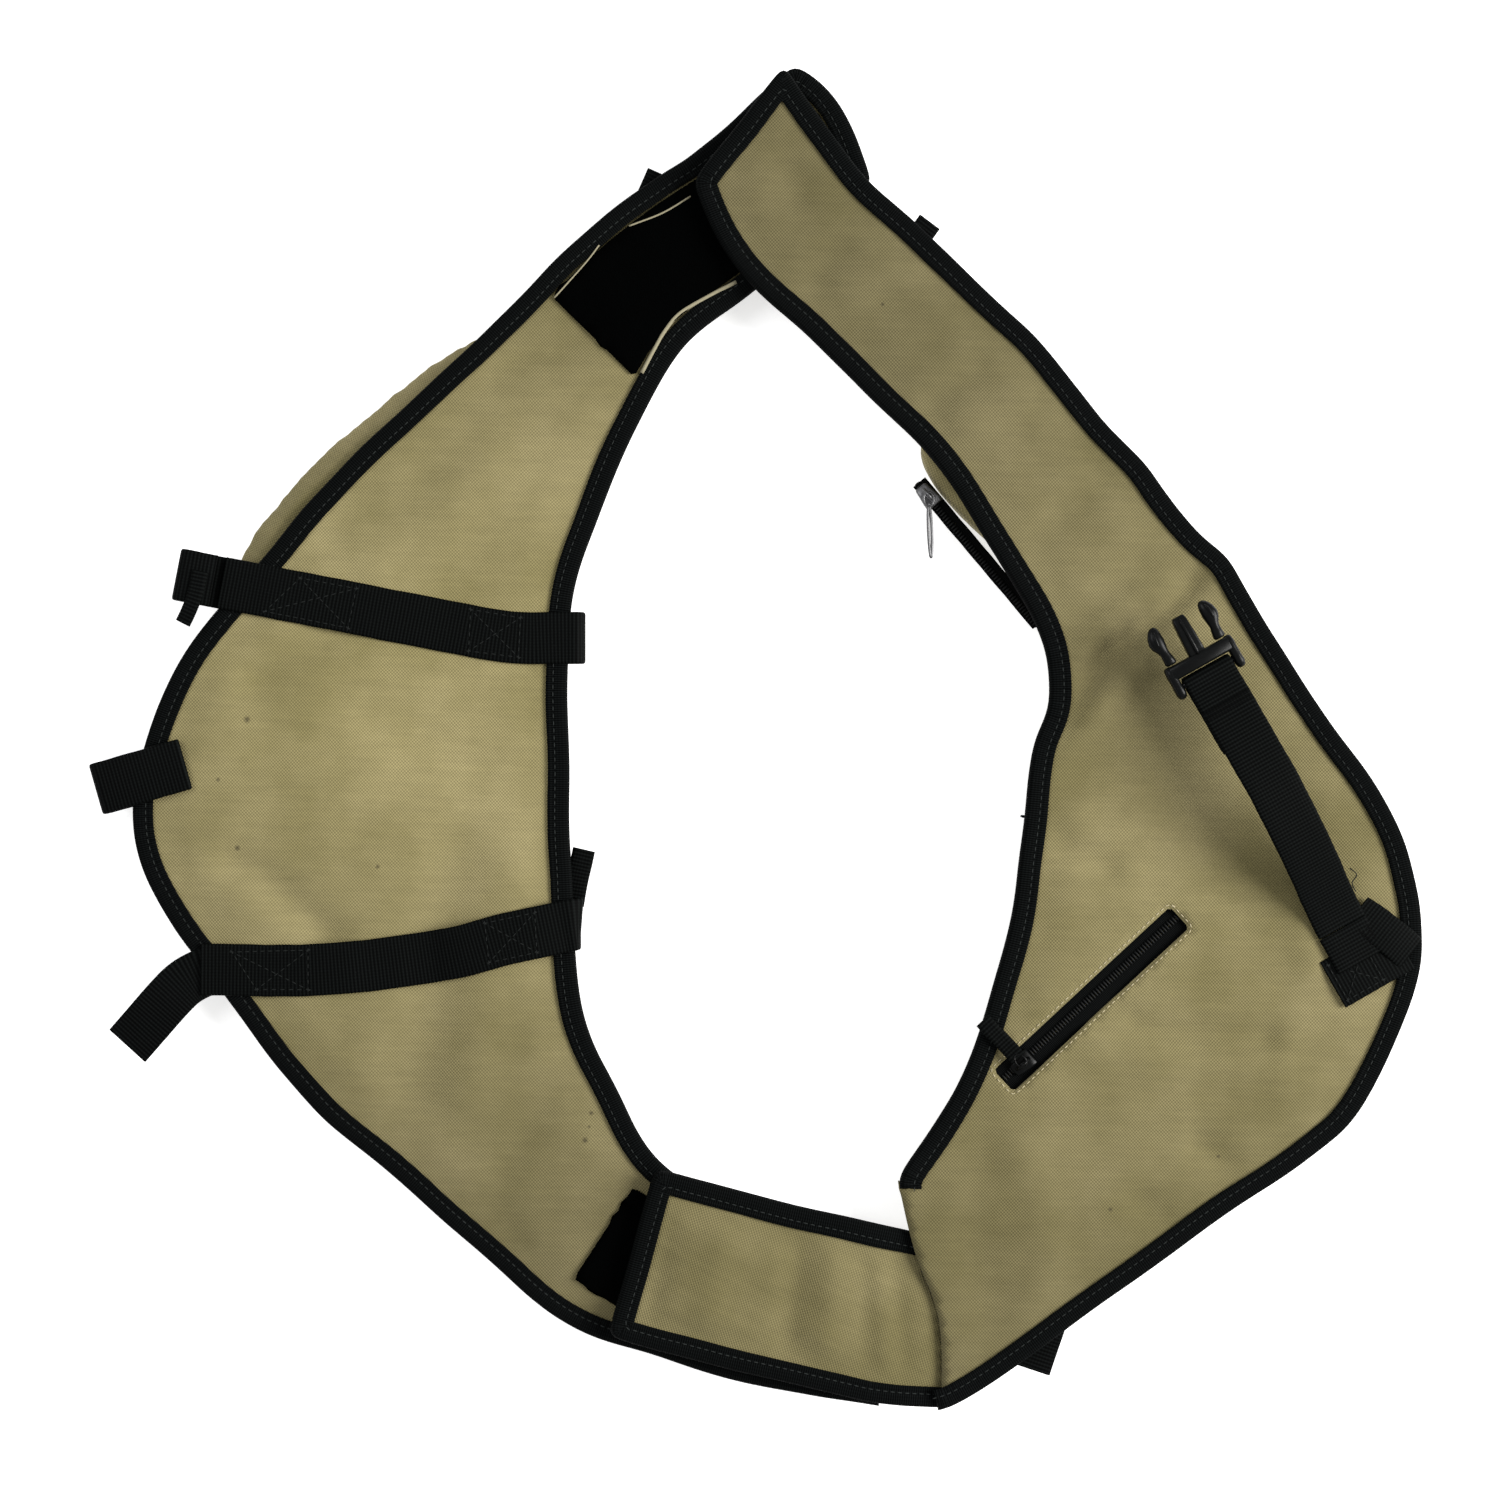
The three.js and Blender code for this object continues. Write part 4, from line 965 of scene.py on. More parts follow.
def even_loop(loop, step):
    return resampled(closed(loop), step)[:-1]


zip_window = even_loop(oblong(ZIP_CENTRE, ZIP_ALONG, *ZIP_WINDOW), 2.5)
zip_line = np.array([ZIP_CENTRE - ZIP_ALONG * 50, ZIP_CENTRE + ZIP_ALONG * 50])
ABOVE_ZIP_TAPES = 28.7


def upper_lining_height(points):
    sunk = 1.1 * np.exp(-((nearest(points, zip_line)[0] / 17.0) ** 2))
    roll = 2.2 * smooth_step((1.5 - np.abs(beyond_fold(points) - 0.2)) / 1.5) * (beyond_fold(points) > -2.5)
    height = upper.lining(points) - sunk - roll
    beside_zip = nearest(points, zip_line)[0] < 20.0
    return np.where(beside_zip, np.maximum(height, ABOVE_ZIP_TAPES), height)


def across_joint(piece, a, b, middle, direction, reach):
    """Bakes the piece's place into its mesh; it does not bend the cloth from body a to body b, and a, b,
    middle, direction and reach are not used.
    """
    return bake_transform(piece)


crease_out = np.array([-0.652, 0.758])
STRAP_JOINT = ("front_panel", "shoulder_strap", CREASE.mean(0), crease_out, 11.0)
BELT_JOINT = ("front_panel", "waist_belt", FOLD_LINE.mean(0) + (-6, 0), np.array([-1.0, -0.03]), 12.0)


def flat_size(loop):
    """The cut's width and length along the directions in which it is narrowest."""
    best = None
    for angle in np.linspace(0, math.pi / 2, 46):
        turn = np.array([[math.cos(angle), -math.sin(angle)], [math.sin(angle), math.cos(angle)]])
        size = np.ptp(loop @ turn, axis=0)
        if best is None or size.prod() < best.prod():
            best = size
    return tuple(float(v) * MM for v in sorted(best))


def panel_layers(prefix, panel, loops, cloth, lining_height, joint, body, lining_nodes, shell_nodes,
                 foam_nodes):
    """The lining, the shell and the foam between them."""
    lining = layer(prefix + "_lining_cloth", loops, lining_height, cloth, CLOTH_THICKNESS, True)
    shell = layer(prefix + "_shell_cloth", loops[:1], panel.shell, cloth, CLOTH_THICKNESS, False)
    core_loop = moved_in(closed(loops[0]), 2.5)[:-1]
    core_loops = [core_loop] + [even_loop(oblong(ZIP_CENTRE, ZIP_ALONG, 122, 26), 4) for _ in loops[1:]]
    foam = slab_between(
        prefix + "_foam_core", core_loops, lambda p: panel.shell(p) + CLOTH_THICKNESS + 0.15,
        lambda p: np.maximum(lining_height(p) - CLOTH_THICKNESS - 0.35,
                             panel.shell(p) + CLOTH_THICKNESS + 0.4), FOAM)
    for piece, replaced in ((lining, lining_nodes), (shell, shell_nodes), (foam, foam_nodes)):
        if joint:
            across_joint(piece, *joint)
        else:
            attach(piece, body)
        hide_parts(*replaced)
    flat_size(loops[0])
    flat_size(loops[0])
    return lining, shell, foam


panel_layers("back", back, [back_loop], BACK_CLOTH, back.lining, None, "back_panel",
             ["back_lining"], ["back_shell"], ["back_foam"])
panel_layers("front_and_strap", upper, [upper_loop, zip_window], FRONT_CLOTH, upper_lining_height,
             STRAP_JOINT, None, ["front_lining", "strap_lining"], ["front_shell", "strap_shell"],
             ["front_foam", "strap_foam"])
panel_layers("belt", belt, [belt_loop], BELT_CLOTH, belt.lining, BELT_JOINT, None,
             ["belt_lining"], ["belt_shell"], ["belt_foam"])

back_tape = edge_tape("back_edge_tape", back, 1.3)
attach(back_tape, "back_panel")
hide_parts("back_binding")
upper_tape = edge_tape("front_and_strap_edge_tape", upper, 2.3)
across_joint(upper_tape, *STRAP_JOINT)
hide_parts("front_binding_outer", "strap_binding", "front_binding_inner")
belt_tape = edge_tape("belt_edge_tape", belt, 3.3)
across_joint(belt_tape, *BELT_JOINT)
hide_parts("belt_binding")

TAPE_SEAM = 6.9


def tape_stitching(name, panel, joint, body):
    line = moved_in(panel.edge, TAPE_SEAM)
    parts = []
    breaks = np.nonzero(np.linalg.norm(np.diff(line, axis=0), axis=1) > 8.0)[0] + 1
    for part in np.split(line, breaks):
        if len(part) > 3:
            inset = nearest(part, panel.edge)[0]
            height = panel.middle + panel.tape(part, inset) + panel.warp(part)
            parts.append(np.column_stack([part, height + STITCH_LIFT]))
    made = beads(name, parts, 3.5, (2.5, 0.5, 0.4), GREY_THREAD)
    if joint:
        across_joint(made, *joint)
    else:
        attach(made, body)


tape_stitching("back_tape_stitching", back, None, "back_panel")
tape_stitching("front_and_strap_tape_stitching", upper, STRAP_JOINT, None)
tape_stitching("belt_tape_stitching", belt, BELT_JOINT, None)


# ---- hook-and-loop patches ----
def patch(name, node, panel, body, lift, thickness, underneath=False):
    """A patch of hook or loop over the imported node's outline, lying on a panel's cloth."""
    loop = even_loop(lowest_loops(node)[0], 4.0)
    points, faces = filled([loop], grid_inside([loop], 5.0))
    base = panel.shell(points) - lift if underneath else panel.lining(points) + lift
    sheet = piece_from(name, np.column_stack([points, base]), faces[:, ::-1] if underneath else faces,
                       PILE, uv=points)
    thickened(sheet, thickness, 1.0)
    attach(sheet, body)
    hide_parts(node)
    return loop


for end in ("upper", "lower"):
    patch(f"{end}_loop_patch", f"back_loop_patch_{end}", back, "back_panel", 0.05, 1.5)
patch("strap_hook_strip", "strap_hook_patch", upper, "shoulder_strap", 0.05, 1.0, True)
patch("belt_hook_strip", "belt_hook_patch", belt, "waist_belt", 0.05, 1.0, True)


# ---- webbing on the back panel ----
def route(*parts):
    return rounded(np.vstack(parts), 1.0)


UNDER_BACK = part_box("inner_edge_tab")[0].z / MM + WEBBING_THICKNESS / 2
upper_over = laid_over(back, places((-257, 74), (-174.5, 58), (-120.5, 48), (-92, 47.5)))
lower_over = laid_over(back, places((-267, -112.5), (-210, -112.5), (-153, -106), (-121, -98), (-93, -92)))


def wrapped(over, turn_at, back_to):
    """A route carried over a panel's edge and a little way underneath."""
    x, y = turn_at
    high = over[-1][2]
    middle = (high + UNDER_BACK) / 2
    return route(over[::4], [(x - 2.4, y, high - 0.4), (x, y, middle), (x - 2.4, y, UNDER_BACK + 0.2),
                             (x - 6, y, UNDER_BACK), (back_to, y, UNDER_BACK)])


def webbing_piece(name, path, width, body, node, **kept):
    made = strip(name, path, width, body, **kept)
    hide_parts(node)
    return made


upper_turn = at(-82.8, 47.5)
lower_turn = at(-84.6, -91)
webbing_piece("upper_cross_webbing", wrapped(upper_over, upper_turn, upper_turn[0] - 18), WEBBING_WIDTH,
              "back_panel", "upper_cross_strap")
webbing_piece("lower_cross_webbing", wrapped(lower_over, lower_turn, lower_turn[0] - 15), WEBBING_WIDTH,
              "back_panel", "lower_cross_strap")


def on_webbing(corners, over):
    """Stitch lines through pattern places, a little above the webbing they hold."""
    line = resampled(places(*corners), 1.5)
    gap = np.linalg.norm(line[:, None] - over[None, :, :2], axis=2).argmin(1)
    return np.column_stack([line, over[gap, 2] + WEBBING_THICKNESS / 2 + STITCH_LIFT])


def box_and_cross(name, corners, over, body):
    """The usual square of stitching with both diagonals."""
    ring = list(corners) + [corners[0]]
    lines = [on_webbing(pair, over) for pair in zip(ring, ring[1:])]
    lines += [on_webbing((corners[0], corners[2]), over), on_webbing((corners[1], corners[3]), over)]
    stitches(name, lines, body)


box_and_cross("upper_strap_stitching_left", ((-236, 60), (-219, 76), (-192, 71), (-196, 52)), upper_over,
              "back_panel")
box_and_cross("upper_strap_stitching_right", ((-137, 61), (-113, 57), (-114, 38), (-138, 41)), upper_over,
              "back_panel")
box_and_cross("lower_strap_stitching_left", ((-252, -104), (-215, -103), (-215, -122), (-240, -122)),
              lower_over, "back_panel")
box_and_cross("lower_strap_stitching_right", ((-130, -90), (-106, -85), (-105, -104), (-128, -109)),
              lower_over, "back_panel")

# the upper strap's end, rolled back on itself
tail_out = np.array([-0.982132, 0.188193])
tail_root = at(-258, 74)
tail_level = upper_over[0][2]


def along_tail(*pairs):
    return np.array([np.append(tail_root + tail_out * x, tail_level + z) for x, z in pairs])


webbing_piece("upper_webbing_tail", route(along_tail(
    (-4, -1.5), (1.5, -1.4), (8, -0.4), (15, 0.6), (19.2, 3.2), (18.4, 6.4), (14, 7.4), (7, 6.6), (2, 5.4))),
    WEBBING_WIDTH, "upper_tail", "upper_strap_tail")

flap_places = places((-265.5, 79), (-268, 68), (-271, 60), (-274, 54))
flap_levels = tail_level + np.array([8.5, 9.0, 8.6, 7.6])
tail_flap = strip(
    "upper_webbing_tail_fold", route(np.column_stack([flap_places, flap_levels])), 7.5, "upper_tail")

lower_tail_level = lower_over[0][2]
lower_tail_route = np.column_stack([
    places((-263, -113.6), (-268, -115), (-275, -119), (-283, -127), (-293, -138.5), (-303, -149.5)),
    lower_tail_level + np.array([-1.5, -1.5, -0.8, 0.2, -0.6, -2.0])])
webbing_piece("lower_webbing_tail", route(lower_tail_route), 23.5, "lower_tail", "lower_strap_tail")

# the loop over the left edge, which carries the buckle's socket underneath
LOOP_ANGLE = math.radians(16)
loop_along = np.array([math.cos(LOOP_ANGLE), math.sin(LOOP_ANGLE)])
loop_outer = at(-318.5, -26)
socket_low, socket_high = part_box("buckle_socket")
SOCKET_MIDDLE = (socket_low.z + socket_high.z) / 2 / MM
loop_over = laid_over(back, np.array([loop_outer + loop_along * d for d in (44, 34, 24)]))
loop_over[:, 2] += 1.6
loop_top = loop_over[-1][2]


def along_loop(*pairs):
    return np.array([np.append(loop_outer + loop_along * x, z) for x, z in pairs])


eye = [(56 + 2.75 * math.sin(a), SOCKET_MIDDLE + 2.75 * math.cos(a)) for a in np.linspace(0.2, 4.4, 7)]
webbing_piece("socket_webbing_loop", route(along_loop(
    (33, loop_over[0][2] - 1.5), (40, loop_over[0][2] - 1.5), (43.6, loop_over[0][2] - 1.4),
    (45.4, loop_over[0][2] - 0.7)), loop_over[::3], along_loop(
    (17, loop_top - 0.6), (8, loop_top - 1.4), (2.6, loop_top - 2.2), (0.75, (loop_top + UNDER_BACK) / 2),
    (2.8, UNDER_BACK + 0.5), (10, UNDER_BACK), (48, UNDER_BACK), *eye)),
    WEBBING_WIDTH, "back_panel", "edge_loop", across=np.array([-loop_along[1], loop_along[0], 0]))


def flat_tab(name, node, body, width):
    """A short end of webbing that shows under a panel's edge, along its longer side."""
    low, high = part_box(node)
    corners = np.array([v.co for v in nodes[node].data.vertices]) / MM
    flat = corners[:, :2]
    middle = flat.mean(0)
    axis = np.linalg.svd(flat - middle)[2][0]
    reach = (flat - middle) @ axis
    level = (low.z + high.z) / 2 / MM
    ends = [np.append(middle + axis * d, level) for d in np.linspace(reach.min(), reach.max(), 4)]
    webbing_piece(name, route(ends), width, body, node)


webbing_piece("inner_edge_webbing_end", route(np.column_stack([
    places((-88.5, -82), (-86, -68), (-83, -55)), np.full(3, UNDER_BACK)])), 11.0, "back_panel",
    "inner_edge_tab")
flat_tab("upper_arm_webbing_end", "upper_arm_tab", "back_panel", 14.0)
flat_tab("front_lower_webbing_end", "front_lower_tab", "front_panel", 22.0)
flat_tab("strap_outer_webbing_end", "strap_outer_tab", "shoulder_strap", 12.0)


# ---- zips ----
ZIP_TAPE_LEVEL = 27.75


def level_line(start, end, height, step=3.0):
    line = resampled(np.array([start, end]), step)
    return np.column_stack([line, np.full(len(line), height)])


def zip_tape(name, start, end, height, width, body, node, across=None):
    tape = strip(name, level_line(start, end, height), width, body, ZIP_TAPE, 0.6, across, rib=0.0)
    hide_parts(node)


def zip_teeth(name, line, size, body, node):
    teeth = beads(name, [line], 1.6, size, COIL, body)
    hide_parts(node)


zip_start, zip_end = ZIP_CENTRE - ZIP_ALONG * 60.5, ZIP_CENTRE + ZIP_ALONG * 60.5
for side, label in ((1, "upper"), (-1, "lower")):
    shift = ZIP_ACROSS * side * 5.9
    zip_tape(f"lining_zip_tape_{label}", zip_start + shift, zip_end + shift, ZIP_TAPE_LEVEL, 11.4,
             "front_panel", f"front_zip_tape_{label}")
tooth_line = level_line(
    ZIP_CENTRE - ZIP_ALONG * 56, ZIP_CENTRE + ZIP_ALONG * 56.5, ZIP_TAPE_LEVEL + 0.75, 2.0)
zip_teeth("lining_zip_teeth", tooth_line + np.append(ZIP_ACROSS * 0.6, 0), (0.95, 4.2, 1.5), "front_panel",
          "front_zip_coil")

window_length, window_width = ZIP_WINDOW
window_outline = oblong(ZIP_CENTRE, ZIP_ALONG, window_length + 3.0, window_width + 3.0, 2.4)
window_path = closed(even_loop(window_outline, 2.0))
window_line = np.column_stack([window_path, upper_lining_height(window_path) + STITCH_LIFT])
stitches("zip_window_stitching", [window_line], "front_panel", TAN_THREAD, 2.2, 3.1)


def lofted(name, sections, material, power=2.6, count=20):
    """A closed form along X through sections of (x, y, z, half width, half height)."""
    points = []
    for x, y, z, wide, high in sections:
        for k in range(count):
            angle = 2 * math.pi * k / count
            c, s = math.cos(angle), math.sin(angle)
            points.append((x, y + wide * math.copysign(abs(c) ** (2 / power), c),
                           z + high * math.copysign(abs(s) ** (2 / power), s)))
    faces = []
    for i in range(len(sections) - 1):
        for k in range(count):
            n = (k + 1) % count
            faces.append((i * count + k, (i + 1) * count + k, (i + 1) * count + n, i * count + n))
    faces.append(tuple(range(count)))
    faces.append(tuple((len(sections) - 1) * count + k for k in range(count))[::-1])
    return outward(piece_from(name, points, faces, material))


def tube(name, path, radius, material, count=10, is_loop=False):
    """A round wire or cord along a path in millimetres."""
    path = np.asarray(path, float)
    if is_loop:
        tangent = np.roll(path, -1, 0) - np.roll(path, 1, 0)
    else:
        tangent = np.gradient(path, axis=0)
    tangent /= np.linalg.norm(tangent, axis=1)[:, None]
    guide = np.array([0.05, 0.1, 1.0])
    side = np.cross(tangent, guide)
    side /= np.linalg.norm(side, axis=1)[:, None]
    up = np.cross(side, tangent)
    angles = np.linspace(0, 2 * math.pi, count, endpoint=False)
    rings = (path[:, None] + radius * (np.cos(angles)[None, :, None] * side[:, None]
                                       + np.sin(angles)[None, :, None] * up[:, None]))
    total = len(path)
    faces = []
    for i in range(total if is_loop else total - 1):
        j = (i + 1) % total
        for k in range(count):
            n = (k + 1) % count
            faces.append((i * count + k, i * count + n, j * count + n, j * count + k))
    if not is_loop:
        faces.append(tuple(range(count))[::-1])
        faces.append(tuple((total - 1) * count + k for k in range(count)))
    return outward(piece_from(name, rings.reshape(-1, 3), faces, material))


def joined(name, parts):
    """Several closed shells as one object."""
    with bpy.context.temp_override(active_object=parts[0], selected_editable_objects=parts,
                                   selected_objects=parts):
        bpy.ops.object.join()
    parts[0].name = name
    return parts[0]


def placed(piece, origin, x_axis, z_axis=(0, 0, 1)):
    """Moves a mesh from its own frame to its place in the vest, keeping the object at the origin."""
    x = Vector(x_axis).normalized()
    z = Vector(z_axis)
    z = (z - x * z.dot(x)).normalized()
    y = z.cross(x)
    turn = Matrix((x, y, z)).transposed().to_4x4()
    piece.data.transform(Matrix.Translation(Vector(origin) * MM) @ turn)
    piece.data.update()
    return piece


def zip_slider(name, material, scale=1.0):
    """A slider along +X on its teeth, with a bridge for the pull; its tape is at Z = 0."""
    body = lofted(name + "_body", [
        (-6.0, 0, 1.5, 2.2, 0.9), (-5.4, 0, 1.6, 3.2, 1.5), (-2.0, 0, 1.7, 3.7, 1.7), (2.2, 0, 1.7, 4.4, 1.7),
        (5.0, 0, 1.6, 4.6, 1.5), (5.8, 0, 1.5, 3.9, 0.9)], material, 4.5, 28)
    spine = lofted(name + "_spine", [
        (-4.6, 0, 3.4, 0.7, 0.4), (-3.6, 0, 4.0, 1.0, 0.9), (0, 0, 4.5, 1.15, 1.3), (3.4, 0, 4.1, 1.0, 1.0),
        (4.4, 0, 3.4, 0.7, 0.4)], material, 3.2, 16)
    arch = [(x, 0, 4.7 + 2.1 * math.sin(math.pi * (x + 3.4) / 6.8)) for x in np.linspace(-3.4, 3.4, 13)]
    bridge = tube(name + "_bridge", arch, 0.75, material)
    made = joined(name, [body, spine, bridge])
    made.data.transform(Matrix.Scale(scale, 4))
    return made


slider_place = np.append(zip_start + ZIP_ALONG * 15.6, ZIP_TAPE_LEVEL)
slider = placed(zip_slider("lining_zip_slider", MOULDED), slider_place, (*ZIP_ALONG, 0))
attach(slider, "lining_zip_runner")
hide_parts("front_zip_slider")


def ring(centre, x_axis, y_axis, wide, high, count=28):
    angles = np.linspace(0, 2 * math.pi, count, endpoint=False)
    return np.array([np.asarray(centre) + wide * math.cos(a) * np.asarray(x_axis)
                     + high * math.sin(a) * np.asarray(y_axis) for a in angles])


BRIDGE_HEIGHT = 6.0
crown = slider_place + (0, 0, BRIDGE_HEIGHT)
pull_out = np.append(ZIP_ACROSS, 0)
pull_ring = tube("pull_ring", ring(crown + pull_out * 2.2, pull_out, (*ZIP_ALONG, 0), 3.4, 2.4), 0.6, MOULDED,
                 is_loop=True)
tab_route = [crown + pull_out * d + (0, 0, z) for d, z in
             ((3.6, 0.1), (6, -0.5), (11, -1.2), (17, -1.0), (23, -0.4), (28.5, -0.6))]
pull_tab = strip("pull_tab", route(np.array(tab_route)), 8.2, None, WEBBING, 1.3)
pull = joined("lining_zip_pull_tab", [pull_tab, pull_ring])
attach(pull, "lining_zip_tab")
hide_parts("front_zip_pull")

# the strap pocket's zip, level with the floor under the strap's inner edge
STRAP_ZIP_ANGLE = math.atan2(-70, 59)
strap_zip_along = np.array([math.cos(STRAP_ZIP_ANGLE), math.sin(STRAP_ZIP_ANGLE)])
strap_zip_across = np.array([-strap_zip_along[1], strap_zip_along[0]])
strap_zip_start = at(77, 121) + strap_zip_across * 2.1
STRAP_ZIP_LEVEL = 14.0
zip_tape("strap_pocket_zip_tape", strap_zip_start + strap_zip_across * 1.2,
         strap_zip_start + strap_zip_along * 90 + strap_zip_across * 1.2, STRAP_ZIP_LEVEL, 7.6,
         "shoulder_strap", "strap_zip_tape")
zip_teeth("strap_pocket_zip_teeth", level_line(strap_zip_start, strap_zip_start + strap_zip_along * 90,
                                               STRAP_ZIP_LEVEL + 0.8, 2.0), (0.95, 3.4, 1.4),
          "shoulder_strap", "strap_zip_coil")
strap_slider_place = np.append(strap_zip_start + strap_zip_along * 8, STRAP_ZIP_LEVEL)
strap_slider = placed(
    zip_slider("strap_pocket_zip_slider", NICKEL), strap_slider_place, (*strap_zip_along, 0))
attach(strap_slider, "strap_pocket_zip_runner")
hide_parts("strap_zip_slider")
strap_crown = strap_slider_place + (0, 0, BRIDGE_HEIGHT)
hang = np.array([0.04, -1.0, 0.0])
hang /= np.linalg.norm(hang)
hang_side = np.array([-hang[1], hang[0], 0])
small_ring = tube("small_ring", ring(strap_crown + hang * 2.0, hang, hang_side, 3.4, 2.4), 0.65, NICKEL,
                  is_loop=True)
wire_route = ring(strap_crown + hang * 17.0 + (0, 0, -0.4), hang, hang_side, 13.0, 0.85, 40)
wire = tube("wire", wire_route, 0.7, NICKEL, is_loop=True)
wire_pull = joined("strap_pocket_wire_pull", [wire, small_ring])
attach(wire_pull, "strap_pocket_zip_wire")
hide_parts("strap_zip_pull")


# the two zips on the pockets' upright walls
def wall_zip(prefix, node_prefix, runner, tab_body, body):
    low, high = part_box(f"{node_prefix}_zip_coil")
    coil = np.array([v.co for v in nodes[f"{node_prefix}_zip_coil"].data.vertices]) / MM
    flat = coil[:, :2]
    middle = flat.mean(0)
    along = np.linalg.svd(flat - middle)[2][0]
    slider_node = f"{node_prefix}_zip_slider"
    slider_at = np.array([v.co for v in nodes[slider_node].data.vertices]).mean(0) / MM
    if (slider_at[:2] - middle) @ along > 0:
        along = -along
    half = np.abs((flat - middle) @ along).max()
    out = np.array([along[1], -along[0]])
    level = (low.z + high.z) / 2 / MM
    wall = middle - out * 0.95
    ends = wall - along * half, wall + along * half
    for side, label in ((1, "upper"), (-1, "lower")):
        zip_tape(f"{prefix}_zip_tape_{label}", *ends, level + side * 3.0, 3.6, body,
                 f"{node_prefix}_zip_tape_{label}", across=np.array([0, 0, 1.0]))
    line = level_line(ends[0] + out * 0.9, ends[1] + out * 0.9, level, 2.0)
    zip_teeth(f"{prefix}_zip_teeth", line, (0.95, 1.5, 4.2), body, f"{node_prefix}_zip_coil")
    here = np.append(wall + along * ((slider_at[:2] - middle) @ along), level)
    slider_piece = placed(zip_slider(f"{prefix}_zip_slider", MOULDED, 0.86), here, (*along, 0), (*out, 0))
    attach(slider_piece, runner)
    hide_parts(slider_node)
    hook = here + np.append(out * 5.4, 0)
    loop = tube("loop", ring(hook + np.append(out * 1.6, 0), (*out, 0), (0, 0, 1), 2.6, 2.0), 0.55, MOULDED,
                is_loop=True)
    tab = strip("tab", route(np.array([hook + np.append(out * d, 0) for d in (3.6, 6, 8, 10)])), 5.4, None,
                WEBBING, 1.2, across=np.array([0, 0, 1.0]))
    tab = joined(f"{prefix}_zip_pull_tab", [tab, loop])
    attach(tab, tab_body)
    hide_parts(f"{node_prefix}_zip_pull")


wall_zip("back_pocket", "back", "back_pocket_zip_runner", "back_pocket_zip_tab", "back_panel")
wall_zip("front_pocket", "pocket", "front_pocket_zip_runner", "front_pocket_zip_tab", "front_panel")

# ---- cloth left showing between the upper loop patch and the tape ----
for name, line, radius in (
        ("patch_edge_left", places((-96.8, 211.4), (-81.8, 228.2), (-75.2, 236.8)), 0.4),
        ("patch_edge_top", places((-60.8, 246.0), (-44.6, 252.2), (-31.0, 260.2)), 0.5),
        ("patch_edge_inner", places((-54.6, 175.2), (-48.2, 187.4), (-43.4, 195.8), (-36.2, 204.2),
                                    (-23.0, 212.0), (-9.0, 219.2)), 1.0)):
    line = rounded(line, 2.0)
    shown = tube(name, np.column_stack([line, back.lining(line) + 1.9 - radius]), radius, PALE_EDGE, 8)
    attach(shown, "back_panel")

# ---- pockets: stuffed a little by pressure, then kept off the floor and the panel above ----
SIMULATION_STEPS = 18
SWELLING_PRESSURE = 4.0
MOST_SWELLING = 3.0


def swollen(piece, pressure, most):
    """Cloth under pressure from inside; no point moves more than `most` millimetres."""
    rest = np.array([v.co for v in piece.data.vertices])
    cloth = piece.modifiers.new("swell", "CLOTH")
    cloth.settings.use_pressure = True
    cloth.settings.uniform_pressure_force = pressure
    cloth.settings.quality = 5
    cloth.settings.mass = 0.25
    cloth.settings.tension_stiffness = 20
    cloth.settings.bending_stiffness = 0.6
    cloth.settings.effector_weights.gravity = 0
    cloth.collision_settings.use_collision = False
    cloth.point_cache.frame_start, cloth.point_cache.frame_end = 1, SIMULATION_STEPS
    for step in range(1, SIMULATION_STEPS + 1):
        bpy.context.scene.frame_set(step)
    graph = bpy.context.evaluated_depsgraph_get()
    moved = np.array([v.co for v in piece.evaluated_get(graph).data.vertices])
    piece.modifiers.clear()
    bpy.context.scene.frame_set(1)
    shift = moved - rest
    size = np.maximum(np.linalg.norm(shift, axis=1), 1e-9)
    limit = most * MM
    return rest + shift * (limit * np.tanh(size / limit) / size)[:, None]


